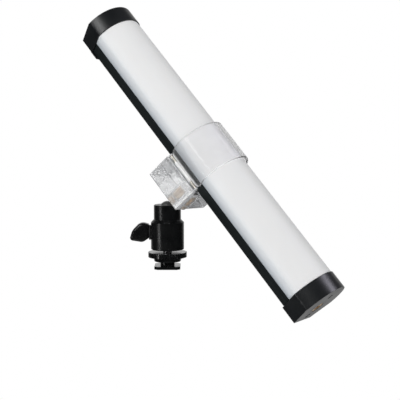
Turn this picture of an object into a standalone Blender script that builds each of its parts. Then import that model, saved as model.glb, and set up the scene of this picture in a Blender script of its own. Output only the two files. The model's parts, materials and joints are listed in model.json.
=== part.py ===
"""Handheld LED light tube, held in a clear loop clip on a mini ball head with a shoe foot.

The origin is the middle of the shoe foot's underside and +Z is up. Three frames carry the parts:
  head frame   Z up, X towards the side the ball head leans to
  stem frame   Z along the ball's stem towards the tube, X along the tube towards its lower end
  tube frame   Z along the tube towards its lower end, Y out through the front of the diffuser
Each frame is an empty on the axis of the joint that moves it.
"""
import math

import bmesh
import bpy
from mathutils import Vector

MM = 0.001
GAP = 0.3 * MM            # clearance left between touching pieces

# Pose at rest
HEAD_TURN = math.radians(-26.2)      # ball head about the vertical
BALL_TILT = math.radians(47.5)       # stem away from the vertical
STEM_TURN = math.radians(-4.2)       # clip about the stem
KNOB_TURN = math.radians(180.0)      # direction of the locking knob, about the vertical

# Light tube: round front, two straight facets and a flat back
TUBE_RADIUS = 21.0 * MM
TUBE_LENGTH = 250.0 * MM
BACK_DEPTH = 12.6 * MM               # axis to flat back
BACK_HALF_WIDTH = 13.2 * MM
FACET_TOP = 1.2 * MM                 # height of the facet's top edge above the axis
SPLIT_HEIGHT = -4.8 * MM             # where the diffuser meets the back channel, on the facet
DIFFUSER_WALL = 1.6 * MM
CHANNEL_WALL = 1.5 * MM
ARC_STEPS = 36

# End caps
CAP_LENGTH = 12.4 * MM
CAP_PROUD = 0.7 * MM                 # caps stand out from the diffuser and facets
CAP_BACK_PROUD = 1.2 * MM
CAP_WALL = 2.6 * MM
CAP_END_WALL = 3.0 * MM
CAP_LIP_LENGTH = 6.0 * MM            # tongue of the upper cap along the flat back
CAP_EDGE = 0.6 * MM

# Quarter-inch threads
STUD_RADIUS = 3.05 * MM
STUD_BORE = STUD_RADIUS + GAP
TAPPED_BORE = 2.55 * MM
INSERT_RADIUS = 4.3 * MM
INSERT_LENGTH = 8.8 * MM
BOSS_WALL = 1.5 * MM

# Cap screws, M2
SCREW_HEIGHTS = (11.5 * MM, -8.6 * MM)
SCREW_HEAD_RADIUS = 1.8 * MM
SCREW_HEAD = 1.2 * MM
SCREW_SHANK = 0.8 * MM
SCREW_LENGTH = 12.0 * MM
SLOT_HALF_WIDTH = 0.25 * MM
SLOT_DEPTH = 0.5 * MM

# Inside the tube
BODY_HALF = TUBE_LENGTH / 2 - CAP_LENGTH - GAP
BRACKET_START = 105.3 * MM
BRACKET_THICK = 3.0 * MM
CARRIER_TOP = 4.8 * MM
CARRIER_WALL = 1.2 * MM
CARRIER_HALF = 14.5 * MM
CARRIER_LEG = 9.3 * MM               # outer face of each leg
INSIDE_BACK = -(BACK_DEPTH - CHANNEL_WALL)
BOARD_THICK = 1.6 * MM
LED_BOARD_HALF = 12.0 * MM
LED_BOARD_LENGTH = 208.0 * MM
LED_SIZE = 5.0 * MM
LED_HEIGHT = 1.2 * MM
LED_ROW = 6.0 * MM
LED_PER_ROW = 16
LED_PITCH = 12.6 * MM
CELL_RADIUS = 7.0 * MM
CELL_LENGTH = 49.0 * MM
CELL_HEIGHT = INSIDE_BACK + GAP + CELL_RADIUS
UPPER_CELL_START = -92.0 * MM
LOWER_CELL_START = -41.0 * MM
MAGNET_RADIUS = 5.5 * MM
MAGNET_THICK = 2.2 * MM

# Control panel in the flat back, towards the lower end
PANEL_START = 29.0 * MM
PANEL_END = 105.0 * MM
PANEL_HALF = 7.5 * MM
PANEL_THICK = 1.6 * MM
USB_PLACE = 35.0 * MM
USB_HALF_WIDTH = 4.5 * MM
USB_HALF_HEIGHT = 1.6 * MM
USB_WALL = 0.35 * MM
DISPLAY_PLACE = 54.0 * MM
DISPLAY_HALF_LENGTH = 10.7 * MM
DISPLAY_HALF_WIDTH = 5.3 * MM
WINDOW_THICK = 1.2 * MM
MODULE_THICK = 1.8 * MM
DIAL_PLACE = 74.0 * MM
DIAL_RADIUS = 5.2 * MM
DIAL_PROUD = 1.6 * MM
DIAL_TEETH = 30
BUTTON_PLACES = {"mode_button": 85.0 * MM, "menu_button": 93.0 * MM, "power_button": 101.0 * MM}
BUTTON_RADIUS = 2.8 * MM
BUTTON_PROUD = 0.7 * MM
BUTTON_TRAVEL = 0.5 * MM
CONTROL_BOARD_TOP = -6.9 * MM
CONTROL_BOARD_THICK = 1.2 * MM
CONTROL_BOARD_HALF = 7.2 * MM
CONTROL_BOARD_ENDS = (30.0 * MM, 104.5 * MM)
SWITCH_HEIGHT = 1.2 * MM
SWITCH_HALF = 1.7 * MM
ENCODER_HALF = 3.0 * MM
DRIVER_BOARD_TOP = 1.0 * MM
DRIVER_BOARD_ENDS = (31.0 * MM, 104.0 * MM)
# Parts under the driver board: place along the tube, half size, height
DRIVER_PARTS = {"coil": (45.0 * MM, 5.0 * MM, 4.0 * MM), "chip": (62.0 * MM, 3.5 * MM, 1.4 * MM),
                "capacitor": (76.0 * MM, 3.0 * MM, 4.5 * MM), "connector": (94.0 * MM, 4.5 * MM, 3.5 * MM)}

# Clear clip
CLIP_LENGTH = 31.1 * MM
CLIP_SHIFT = -4.1 * MM               # clip's middle from the stem, along the tube
TUBE_SHIFT = -1.8 * MM               # tube's middle from the clip's
LOOP_CLEAR = 1.0 * MM
LOOP_BACK_CLEAR = 1.4 * MM
LOOP_WALL = 1.8 * MM
KNUCKLE_HALF_LENGTH = 8.5 * MM        # middle part of each leg, threaded on its pin
KNUCKLE_THICK = 2.6 * MM
KNUCKLE_REACH = 19.6 * MM
BLOCK_HALF_WIDTH = 20.0 * MM
BLOCK_TOP = -11.8 * MM
BLOCK_BASE = -31.0 * MM
BLOCK_EDGE = 0.8 * MM
PIN_RADIUS = 0.75 * MM
PIN_REACH = 18.2 * MM                # from the tube's middle plane
PIN_HEIGHT = BLOCK_TOP + GAP + KNUCKLE_THICK / 2
PIN_HALF_LENGTH = 15.2 * MM
BEARING_LENGTH = 1.2 * MM            # lugs on the block that hold each pin's ends
BEARING_IN = 16.95 * MM
NOTCH_IN = 14.0 * MM                 # the legs' lower corners are cut away from here out

# Ball head, heights above the underside of the foot
FOOT_SIZE = 18.0 * MM
FOOT_THICK = 2.1 * MM
FOOT_CORNER = 2.2 * MM
NECK_RADIUS = 5.05 * MM
NECK_TOP = 5.5 * MM
WASHER_BASE = 4.9 * MM
WASHER_TOP = 7.6 * MM
WASHER_BASE_RADIUS = 9.3 * MM
WASHER_TOP_RADIUS = 9.95 * MM
WHEEL_BASE = WASHER_TOP + GAP
WHEEL_TOP = 11.4 * MM
WHEEL_RADIUS = 13.45 * MM
WHEEL_TEETH = 44
TOOTH_DEPTH = 0.45 * MM
HEAD_BASE = 13.3 * MM
HEAD_WIDE_TOP = 32.3 * MM
HEAD_NARROW_BASE = 34.4 * MM
HEAD_TOP = 44.5 * MM
HEAD_WIDE_RADIUS = 11.55 * MM
HEAD_NARROW_RADIUS = 9.45 * MM
HEAD_EDGE = 0.4 * MM
CAVITY_FLOOR = 24.2 * MM
STUD_BORE_TOP = 21.0 * MM
BALL_RADIUS = 5.6 * MM
BALL_HEIGHT = 41.6 * MM
SOCKET_RADIUS = BALL_RADIUS + GAP
STEM_RADIUS = 2.2 * MM
NOTCH_HALF_WIDTH = 2.9 * MM
NOTCH_BASE = 42.4 * MM

# On the stem, heights above the ball's centre
TUBE_HEIGHT = 44.7 * MM
PLATFORM_BASE = 9.3 * MM
PLATFORM_TOP = 11.7 * MM
PLATFORM_RADIUS = 9.0 * MM
PAD_TOP = 13.4 * MM
STUD_TOP = 21.3 * MM

# Locking knob, distances out from the head's axis
KNOB_HEIGHT = 25.1 * MM
KNOB_BORE = 2.5 * MM
KNOB_SCREW_RADIUS = 2.2 * MM
KNOB_SCREW_TIP = 0.93 * MM
KNOB_WASHER_BASE = 11.9 * MM
KNOB_WASHER_TOP = 12.5 * MM
KNOB_WASHER_RADIUS = 5.4 * MM
KNOB_BASE = 12.8 * MM
KNOB_SCREW_END = 18.5 * MM
KNOB_HALF_THICK = 4.2 * MM
KNOB_EDGE = 2.0 * MM
# Corners of the paddle: drop below its axis, distance out, corner radius, in mm
KNOB_CORNERS = ((-5.9, 12.8, 1.0), (-7.6, 18.6, 5.5), (-1.4, 24.6, 7.0), (5.2, 26.6, 2.0), (6.7, 17.2, 4.0),
                (3.8, 12.8, 1.0))
CUP_SEAT = 36.6 * MM
CUP_CONE = 5.0 * MM
CUP_BASE = 25.5 * MM
CUP_TIP_RADIUS = 0.9 * MM

SIDES = {"left": -1, "right": 1}      # sides of the clip, along its X
COLLECTION = "led_light_tube"
CUTTERS = "cutters"


# ---------------------------------------------------------------- helpers

def clear_scene():
    for thing in list(bpy.data.objects):
        bpy.data.objects.remove(thing, do_unlink=True)


def new_collection(name):
    collection = bpy.data.collections.new(name)
    bpy.context.scene.collection.children.link(collection)
    return collection


def finish(name, colour, roughness, metallic=0.0, transmission=0.0):
    material = bpy.data.materials.new(name)
    material.use_nodes = True
    shader = material.node_tree.nodes["Principled BSDF"]
    shader.inputs["Base Color"].default_value = (*colour, 1.0)
    shader.inputs["Roughness"].default_value = roughness
    shader.inputs["Metallic"].default_value = metallic
    shader.inputs["Transmission Weight"].default_value = transmission
    return material


def frame_empty(name, parent=None, location=(0, 0, 0), rotation=(0, 0, 0)):
    empty = bpy.data.objects.new(name, None)
    empty.empty_display_size = 10 * MM
    empty.location = location
    empty.rotation_euler = rotation
    empty.parent = parent
    bpy.data.collections[COLLECTION].objects.link(empty)
    return empty


def add_mesh(name, mesh, parent, location=(0, 0, 0), rotation=(0, 0, 0), cutter=False):
    piece = bpy.data.objects.new(name, mesh)
    piece.location = location
    piece.rotation_euler = rotation
    piece.parent = parent
    if cutter:
        bpy.data.collections[CUTTERS].objects.link(piece)
        piece.hide_render = True
        piece.display_type = "WIRE"
    else:
        bpy.data.collections[COLLECTION].objects.link(piece)
    return piece


def box(name, parent, low, high, cutter=False, edge=0.0):
    """A box between two opposite corners, with its edges rounded if edge is given."""
    low, high = Vector(low), Vector(high)
    shape = bmesh.new()
    bmesh.ops.create_cube(shape, size=1.0)
    bmesh.ops.scale(shape, vec=high - low, verts=shape.verts)
    mesh = bpy.data.meshes.new(name)
    shape.to_mesh(mesh)
    shape.free()
    piece = add_mesh(name, mesh, parent, (low + high) / 2, cutter=cutter)
    if edge:
        round_edges(piece, edge)
    return piece


def rod(name, parent, radius, start, end, location=(0, 0, 0), rotation=(0, 0, 0), cutter=False, steps=24):
    """A cylinder along local Z, from start to end."""
    shape = bmesh.new()
    bmesh.ops.create_cone(shape, cap_ends=True, segments=steps, radius1=radius, radius2=radius,
                          depth=end - start)
    bmesh.ops.translate(shape, vec=(0, 0, (start + end) / 2), verts=shape.verts)
    mesh = bpy.data.meshes.new(name)
    shape.to_mesh(mesh)
    shape.free()
    return add_mesh(name, mesh, parent, location, rotation, cutter)


def turned(name, parent, profile, ring=False, location=(0, 0, 0), rotation=(0, 0, 0), cutter=False, steps=32):
    """A profile of (radius, height) points turned about local Z; a ring's profile closes on itself."""
    mesh = bpy.data.meshes.new(name)
    points = [(radius, 0, height) for radius, height in profile]
    edges = [(i, i + 1) for i in range(len(points) - 1)]
    if ring:
        edges.append((len(points) - 1, 0))
    mesh.from_pydata(points, edges, [])
    piece = add_mesh(name, mesh, parent, location, rotation, cutter)
    screw = piece.modifiers.new("turn", "SCREW")
    screw.steps = steps
    screw.render_steps = steps
    screw.use_merge_vertices = True
    screw.merge_threshold = 0.00001
    screw.use_smooth_shade = True
    return piece


def extruded(name, parent, outlines, start, end, cutter=False, location=(0, 0, 0), rotation=(0, 0, 0)):
    """Flat outlines, the first one outside and any others holes, drawn out from start to end along Z."""
    curve = bpy.data.curves.new(name + "_outline", "CURVE")
    curve.dimensions = "2D"
    curve.fill_mode = "BOTH"
    curve.extrude = (end - start) / 2
    for outline in outlines:
        spline = curve.splines.new("POLY")
        spline.points.add(len(outline) - 1)
        for point, (x, y) in zip(spline.points, outline):
            point.co = (x, y, 0, 1)
        spline.use_cyclic_u = True
    drawn = bpy.data.objects.new(name + "_outline", curve)
    bpy.context.scene.collection.objects.link(drawn)
    evaluated = drawn.evaluated_get(bpy.context.evaluated_depsgraph_get())
    mesh = bpy.data.meshes.new_from_object(evaluated)
    bpy.data.objects.remove(drawn, do_unlink=True)
    shape = bmesh.new()
    shape.from_mesh(mesh)
    bmesh.ops.remove_doubles(shape, verts=shape.verts, dist=0.000001)
    bmesh.ops.translate(shape, vec=(0, 0, (start + end) / 2), verts=shape.verts)
    bmesh.ops.recalc_face_normals(shape, faces=shape.faces)
    shape.to_mesh(mesh)
    shape.free()
    return add_mesh(name, mesh, parent, location, rotation, cutter)


def round_edges(piece, width, segments=2):
    bevel = piece.modifiers.new("edges", "BEVEL")
    bevel.width = width
    bevel.segments = segments
    bevel.limit_method = "ANGLE"
    bevel.angle_limit = math.radians(35)


def combine(piece, other, operation):
    boolean = piece.modifiers.new(operation.lower(), "BOOLEAN")
    boolean.operation = operation
    boolean.solver = "EXACT"
    boolean.object = other


def cut(piece, cutter):
    combine(piece, cutter, "DIFFERENCE")


def join(piece, other):
    combine(piece, other, "UNION")


def paint(piece, material, smooth=True):
    piece.data.materials.clear()
    piece.data.materials.append(material)
    if smooth and piece.data.polygons:
        piece.data.shade_smooth()
        piece.data.set_sharp_from_angle(angle=math.radians(30))
    return piece


def arc(radius, start, end, steps, centre=(0.0, 0.0)):
    """Points along an arc, angles in radians, both ends included."""
    step = (end - start) / steps
    return [(centre[0] + radius * math.cos(start + i * step), centre[1] + radius * math.sin(start + i * step))
            for i in range(steps + 1)]


def rounded_corners(corners, steps):
    """Outline through corners given as (x, y, radius) in mm, each rounded to its radius."""
    points = []
    for i, (x, y, radius) in enumerate(corners):
        corner = Vector((x, y))
        before = (Vector(corners[i - 1][:2]) - corner).normalized()
        after = (Vector(corners[(i + 1) % len(corners)][:2]) - corner).normalized()
        half = before.angle(after) / 2
        centre = corner + (before + after).normalized() * (radius / math.sin(half))
        start = corner + before * (radius / math.tan(half)) - centre
        end = corner + after * (radius / math.tan(half)) - centre
        for step in range(steps + 1):
            spoke = start.lerp(end, step / steps).normalized() * radius
            points.append(tuple((centre + spoke) * MM))
    return points


def soft_slab(name, parent, outline, half_thick, edge, rotation=(0, 0, 0)):
    """A thick plate of the given outline, lying across local Z, with its rim rounded over."""
    centre = sum((Vector(point) for point in outline), Vector((0, 0))) / len(outline)
    reach = sum((Vector(point) - centre).length for point in outline) / len(outline)
    steps = 3
    shape = bmesh.new()
    rings = []
    turns = [math.radians(90) * i / steps for i in range(steps + 1)]
    for side, angles in ((-1, list(reversed(turns))), (1, turns)):
        for angle in angles:
            shrink = 1 - edge * (1 - math.cos(angle)) / reach
            height = side * (half_thick - edge * (1 - math.sin(angle)))
            rings.append([shape.verts.new((*(centre + (Vector(point) - centre) * shrink), height))
                          for point in outline])
    for lower, upper in zip(rings, rings[1:]):
        for i in range(len(outline)):
            j = (i + 1) % len(outline)
            shape.faces.new((lower[i], lower[j], upper[j], upper[i]))
    shape.faces.new(reversed(rings[0]))
    shape.faces.new(rings[-1])
    bmesh.ops.recalc_face_normals(shape, faces=shape.faces)
    mesh = bpy.data.meshes.new(name)
    shape.to_mesh(mesh)
    shape.free()
    return add_mesh(name, mesh, parent, rotation=rotation)


def sorted_corners(first, second):
    """The low and high corners of the box between two points."""
    pairs = list(zip(first, second))
    return tuple(min(pair) for pair in pairs), tuple(max(pair) for pair in pairs)


def mirrored(points):
    """The same path on the other side of the middle plane, walked backwards."""
    return [(-x, y) for x, y in reversed(points)]


def toothed(radius, teeth, depth):
    """Outline of a knurled wheel: crests at the radius, valleys below it."""
    step = 2 * math.pi / teeth
    points = []
    for i in range(teeth):
        for turn, reach in ((0.0, radius), (0.35, radius), (0.5, radius - depth), (0.85, radius - depth)):
            angle = (i + turn) * step
            points.append((reach * math.cos(angle), reach * math.sin(angle)))
    return points


# ---------------------------------------------------------------- the tube's section

FACET_TOP_HALF = math.sqrt(TUBE_RADIUS ** 2 - FACET_TOP ** 2)
FACET_ALONG = Vector((FACET_TOP_HALF - BACK_HALF_WIDTH, FACET_TOP + BACK_DEPTH)).normalized()
FACET_OUT = Vector((FACET_ALONG.y, -FACET_ALONG.x))
FACET_REACH = FACET_OUT.dot(Vector((BACK_HALF_WIDTH, -BACK_DEPTH)))


def facet_x(height, offset):
    """Half width of the section at a height on the facet moved out by offset."""
    return (FACET_REACH + offset - FACET_OUT.y * height) / FACET_OUT.x


def facet_top(offset):
    """Where the facet moved out by offset meets the round front moved out by the same."""
    reach = FACET_REACH + offset
    along = math.sqrt((TUBE_RADIUS + offset) ** 2 - reach ** 2)
    return FACET_OUT * reach + FACET_ALONG * along


def front_path(offset, height):
    """From the right facet at a height, over the round front, to the left facet."""
    top = facet_top(offset)
    lean = math.atan2(top.y, top.x)
    curve = arc(TUBE_RADIUS + offset, lean, math.pi - lean, ARC_STEPS)
    return [(facet_x(height, offset), height)] + curve + [(-facet_x(height, offset), height)]


def section(offset, back_offset):
    """The whole section of the tube, moved out all round, and by back_offset at the flat back."""
    return front_path(offset, -(BACK_DEPTH + back_offset))


def channel_outline():
    """Tray that closes the back of the tube, up to the diffuser's edge on both facets."""
    top = SPLIT_HEIGHT - GAP
    outer = [(facet_x(top, 0), top), (BACK_HALF_WIDTH, -BACK_DEPTH)]
    inner = [(facet_x(INSIDE_BACK, -CHANNEL_WALL), INSIDE_BACK), (facet_x(top, -CHANNEL_WALL), top)]
    return outer + mirrored(outer) + mirrored(inner) + inner


# ---------------------------------------------------------------- tube

def diffuser(tube, materials):
    outline = front_path(0, SPLIT_HEIGHT) + list(reversed(front_path(-DIFFUSER_WALL, SPLIT_HEIGHT)))
    paint(extruded("diffuser", tube, [outline], -BODY_HALF, BODY_HALF), materials["opal"])


def back_channel(tube, materials):
    channel = extruded("back_channel", tube, [channel_outline()], -BODY_HALF, BODY_HALF)
    opening = box("panel_opening", tube, (-PANEL_HALF - GAP, -BACK_DEPTH - GAP, PANEL_START - GAP),
                  (PANEL_HALF + GAP, INSIDE_BACK + GAP, PANEL_END + GAP), cutter=True)
    cut(channel, opening)
    paint(channel, materials["anodised"])


def end_cap(name, end, lip_length, materials):
    """Cup that closes one end, with a boss for the threaded insert and two countersunk screw holes."""
    inner_edge = TUBE_LENGTH / 2 - CAP_LENGTH
    outer_edge = TUBE_LENGTH / 2
    floor = outer_edge - CAP_END_WALL
    cap = extruded(name, end, [section(CAP_PROUD, CAP_BACK_PROUD)], inner_edge, outer_edge)
    round_edges(cap, CAP_EDGE)
    wall_inside = section(CAP_PROUD - CAP_WALL, CAP_BACK_PROUD - CAP_WALL)
    cut(cap, extruded(name + "_hollow", end, [wall_inside], inner_edge - GAP, floor, cutter=True))
    insert_end = outer_edge - INSERT_LENGTH - GAP
    boss_radius = INSERT_RADIUS + GAP + BOSS_WALL
    join(cap, rod(name + "_boss", end, boss_radius, insert_end - CAP_EDGE, floor + CAP_EDGE, cutter=True))
    cut(cap, rod(name + "_bore", end, INSERT_RADIUS + GAP, insert_end - 1 * MM, outer_edge + GAP, cutter=True))
    for number, height in enumerate(SCREW_HEIGHTS):
        place = (0, height, 0)
        hole = turned(f"{name}_screw_hole_{number}", end,
                      [(0, outer_edge + GAP), (SCREW_HEAD_RADIUS + GAP, outer_edge + GAP),
                       (SCREW_HEAD_RADIUS + GAP, outer_edge - SCREW_HEAD - 2 * GAP),
                       (SCREW_SHANK + GAP, outer_edge - SCREW_HEAD - 2 * GAP),
                       (SCREW_SHANK + GAP, floor - GAP), (0, floor - GAP)],
                      location=place, cutter=True, steps=16)
        cut(cap, hole)
    if lip_length:
        half = facet_x(-BACK_DEPTH - GAP, CAP_PROUD)
        lip = box(name + "_lip", end, (-half, -BACK_DEPTH - CAP_BACK_PROUD, inner_edge - lip_length),
                  (half, -BACK_DEPTH - GAP, inner_edge + CAP_EDGE * 2), cutter=True)
        join(cap, lip)
    paint(cap, materials["cap"])


def thread_insert(name, end, materials):
    outer = TUBE_LENGTH / 2 - 0.2 * MM
    inner = outer - INSERT_LENGTH
    profile = [(TAPPED_BORE, outer), (INSERT_RADIUS, outer), (INSERT_RADIUS, inner), (0, inner),
               (0, inner + 0.8 * MM), (TAPPED_BORE, inner + 0.8 * MM)]
    profile = profile[4:] + profile[:4]
    paint(turned(name, end, profile, steps=24), materials["brass"])


def cap_screw(name, end, height, materials):
    top = TUBE_LENGTH / 2 - GAP
    shoulder = top - SCREW_HEAD
    profile = [(0, top), (SCREW_HEAD_RADIUS, top), (SCREW_HEAD_RADIUS, shoulder), (SCREW_SHANK, shoulder),
               (SCREW_SHANK, top - SCREW_LENGTH), (0, top - SCREW_LENGTH)]
    screw = turned(name, end, profile, location=(0, height, 0), steps=16)
    slot = 1.1 * MM
    for turn in (0, math.pi / 2):
        arm = box(f"{name}_slot_{round(turn)}", end, (-slot, -SLOT_HALF_WIDTH, -SLOT_DEPTH),
                  (slot, SLOT_HALF_WIDTH, SLOT_DEPTH), cutter=True)
        arm.location = (0, height, top)
        arm.rotation_euler = (0, 0, turn)
        cut(screw, arm)
    paint(screw, materials["steel"])


def inner_bracket(name, end, materials):
    """Plate inside each end of the shells, with two posts that the cap screws bite into."""
    plate_end = BRACKET_START + BRACKET_THICK
    outline = section(-DIFFUSER_WALL - GAP, -CHANNEL_WALL - GAP)
    bracket = extruded(name, end, [outline], BRACKET_START, plate_end)
    post_end = TUBE_LENGTH / 2 - CAP_END_WALL - GAP
    for number, height in enumerate(SCREW_HEIGHTS):
        post_radius = SCREW_HEAD_RADIUS + GAP
        place = (0, height, 0)
        join(bracket, rod(f"{name}_post_{number}", end, post_radius, BRACKET_START + GAP, post_end,
                          location=place, cutter=True, steps=16))
        cut(bracket, rod(f"{name}_post_bore_{number}", end, SCREW_SHANK + GAP, plate_end, post_end + GAP,
                         location=place, cutter=True, steps=16))
    paint(bracket, materials["nylon"])


def led_carrier(tube, materials):
    """Aluminium spine: a flat top under the LED board and two legs astride the cells."""
    top = CARRIER_TOP
    under = CARRIER_TOP - CARRIER_WALL
    foot = INSIDE_BACK + GAP
    leg_in = CARRIER_LEG - CARRIER_WALL
    right = [(CARRIER_LEG, foot), (CARRIER_LEG, under), (CARRIER_HALF, under), (CARRIER_HALF, top)]
    outline = right + mirrored(right) + [(-leg_in, foot), (-leg_in, under), (leg_in, under), (leg_in, foot)]
    half = BRACKET_START - GAP
    paint(extruded("led_carrier", tube, [outline], -half, half), materials["aluminium"])


def led_board(tube, materials):
    base = CARRIER_TOP + GAP
    half = LED_BOARD_LENGTH / 2
    board = box("led_board", tube, (-LED_BOARD_HALF, base, -half), (LED_BOARD_HALF, base + BOARD_THICK, half))
    chips = bmesh.new()
    first = -LED_PITCH * (LED_PER_ROW - 1) / 2
    low = base + BOARD_THICK / 2
    high = base + BOARD_THICK + LED_HEIGHT
    for side in (-1, 1):
        for number in range(LED_PER_ROW):
            made = bmesh.ops.create_cube(chips, size=1.0)
            bmesh.ops.scale(chips, vec=(LED_SIZE, high - low, LED_SIZE), verts=made["verts"])
            centre = (side * LED_ROW, (low + high) / 2, first + number * LED_PITCH)
            bmesh.ops.translate(chips, vec=centre, verts=made["verts"])
    mesh = bpy.data.meshes.new("led_chips")
    chips.to_mesh(mesh)
    chips.free()
    join(board, add_mesh("led_chips", mesh, tube, cutter=True))
    paint(board, materials["board_white"])


def battery_cell(name, tube, start, materials):
    nub = 1.0 * MM
    end = start + CELL_LENGTH
    edge = 0.5 * MM
    profile = [(0, end + nub), (2.4 * MM, end + nub), (2.4 * MM, end), (CELL_RADIUS - edge, end),
               (CELL_RADIUS, end - edge), (CELL_RADIUS, start + edge), (CELL_RADIUS - edge, start), (0, start)]
    paint(turned(name, tube, profile, location=(0, CELL_HEIGHT, 0), steps=24), materials["cell"])


def cell_contact(name, tube, place, materials):
    half = 5.0 * MM
    thick = 0.4 * MM
    low = (-half, CELL_HEIGHT - half, place - thick)
    paint(box(name, tube, low, (half, CELL_HEIGHT + half, place + thick)), materials["steel"])


def back_magnet(name, tube, place, materials):
    disc = rod(name, tube, MAGNET_RADIUS, GAP, GAP + MAGNET_THICK, location=(0, INSIDE_BACK, place),
               rotation=(-math.pi / 2, 0, 0))
    paint(disc, materials["steel"])


def driver_board(tube, materials):
    low = DRIVER_BOARD_TOP - BOARD_THICK
    half = CARRIER_LEG - CARRIER_WALL - 0.7 * MM
    start, end = DRIVER_BOARD_ENDS
    board = box("driver_board", tube, (-half, low, start), (half, DRIVER_BOARD_TOP, end))
    for name, (place, reach, height) in DRIVER_PARTS.items():
        join(board, box("driver_" + name, tube, (-reach, low - height, place - reach),
                        (reach, low + BOARD_THICK / 2, place + reach), cutter=True))
    paint(board, materials["board_green"])


def control_board(tube, materials):
    """Board behind the panel, with a switch under each button and an encoder under the dial."""
    low = CONTROL_BOARD_TOP - CONTROL_BOARD_THICK
    start, end = CONTROL_BOARD_ENDS
    board = box("control_board", tube, (-CONTROL_BOARD_HALF, low, start),
                (CONTROL_BOARD_HALF, CONTROL_BOARD_TOP, end))
    parts = {name + "_switch": (SWITCH_HALF, place) for name, place in BUTTON_PLACES.items()}
    parts["dial_encoder"] = (ENCODER_HALF, DIAL_PLACE)
    for name, (reach, place) in parts.items():
        join(board, box(name, tube, (-reach, low - SWITCH_HEIGHT, place - reach),
                        (reach, low + CONTROL_BOARD_THICK / 2, place + reach), cutter=True))
    paint(board, materials["board_green"])


def control_panel(tube, materials):
    back = -BACK_DEPTH
    inside = back + PANEL_THICK
    panel = box("control_panel", tube, (-PANEL_HALF, back, PANEL_START), (PANEL_HALF, inside, PANEL_END))
    wide = USB_HALF_WIDTH + GAP
    tall = USB_HALF_HEIGHT + GAP
    cut(panel, box("usb_opening", tube, (-wide, back - GAP, USB_PLACE - tall),
                   (wide, inside + GAP, USB_PLACE + tall), cutter=True))
    wide = DISPLAY_HALF_WIDTH + GAP
    long = DISPLAY_HALF_LENGTH + GAP
    cut(panel, box("display_opening", tube, (-wide, back - GAP, DISPLAY_PLACE - long),
                   (wide, inside + GAP, DISPLAY_PLACE + long), cutter=True))
    holes = {"dial": (DIAL_RADIUS, DIAL_PLACE)}
    holes.update({name: (BUTTON_RADIUS, place) for name, place in BUTTON_PLACES.items()})
    for name, (radius, place) in holes.items():
        cut(panel, rod(name + "_hole", tube, radius + GAP, -GAP, PANEL_THICK + GAP, location=(0, back, place),
                       rotation=(-math.pi / 2, 0, 0), cutter=True))
    paint(panel, materials["panel"])


def display(tube, materials):
    back = -BACK_DEPTH + 0.1 * MM
    glass_in = back + WINDOW_THICK
    paint(box("display_window", tube, (-DISPLAY_HALF_WIDTH, back, DISPLAY_PLACE - DISPLAY_HALF_LENGTH),
              (DISPLAY_HALF_WIDTH, glass_in, DISPLAY_PLACE + DISPLAY_HALF_LENGTH)), materials["window"])
    wide = DISPLAY_HALF_WIDTH - 0.4 * MM
    long = DISPLAY_HALF_LENGTH - 0.4 * MM
    module_in = glass_in + GAP
    paint(box("display_module", tube, (-wide, module_in, DISPLAY_PLACE - long),
              (wide, module_in + MODULE_THICK, DISPLAY_PLACE + long)), materials["panel"])


def usb_port(tube, materials):
    """USB-C receptacle: a steel shell around a tongue that stands on its floor."""
    back = -BACK_DEPTH + 0.1 * MM
    floor = CONTROL_BOARD_TOP - CONTROL_BOARD_THICK - GAP
    wide = USB_HALF_WIDTH
    tall = USB_HALF_HEIGHT
    port = box("usb_c_port", tube, (-wide, back, USB_PLACE - tall), (wide, floor, USB_PLACE + tall))
    mouth_wide = wide - USB_WALL
    mouth_tall = tall - USB_WALL
    cut(port, box("usb_mouth", tube, (-mouth_wide, back - GAP, USB_PLACE - mouth_tall),
                  (mouth_wide, floor - 0.7 * MM, USB_PLACE + mouth_tall), cutter=True))
    join(port, box("usb_tongue", tube, (-3.3 * MM, back + 0.8 * MM, USB_PLACE - USB_WALL),
                   (3.3 * MM, floor - 0.3 * MM, USB_PLACE + USB_WALL), cutter=True))
    paint(port, materials["steel"])


def push_button(name, tube, place, materials):
    """Cap through the panel with a thin stalk down to its switch, flange inside the panel."""
    switch = -(CONTROL_BOARD_TOP - CONTROL_BOARD_THICK - SWITCH_HEIGHT) + BUTTON_TRAVEL + GAP
    flange = BACK_DEPTH - PANEL_THICK - GAP
    outside = BACK_DEPTH + BUTTON_PROUD
    edge = 0.3 * MM
    profile = [(0, outside), (BUTTON_RADIUS - edge, outside), (BUTTON_RADIUS, outside - edge),
               (BUTTON_RADIUS, flange), (BUTTON_RADIUS + 0.8 * MM, flange),
               (BUTTON_RADIUS + 0.8 * MM, flange - 0.4 * MM), (1.0 * MM, flange - 0.4 * MM),
               (1.0 * MM, switch), (0, switch)]
    button = turned(name, tube, profile, location=(0, 0, place), rotation=(math.pi / 2, 0, 0), steps=24)
    paint(button, materials["button"])


def control_dial(tube, materials):
    """Knurled dial on a shaft that reaches down to the encoder."""
    outside = BACK_DEPTH + DIAL_PROUD
    shaft_end = -(CONTROL_BOARD_TOP - CONTROL_BOARD_THICK - SWITCH_HEIGHT) + GAP
    dial = extruded("control_dial", tube, [toothed(DIAL_RADIUS, DIAL_TEETH, 0.3 * MM)],
                    BACK_DEPTH - 0.8 * MM, outside, location=(0, 0, DIAL_PLACE), rotation=(math.pi / 2, 0, 0))
    join(dial, rod("dial_shaft", tube, 1.5 * MM, shaft_end, outside - 1 * MM, location=(0, 0, DIAL_PLACE),
                   rotation=(math.pi / 2, 0, 0), cutter=True, steps=16))
    paint(dial, materials["button"])


# ---------------------------------------------------------------- clear clip

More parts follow.
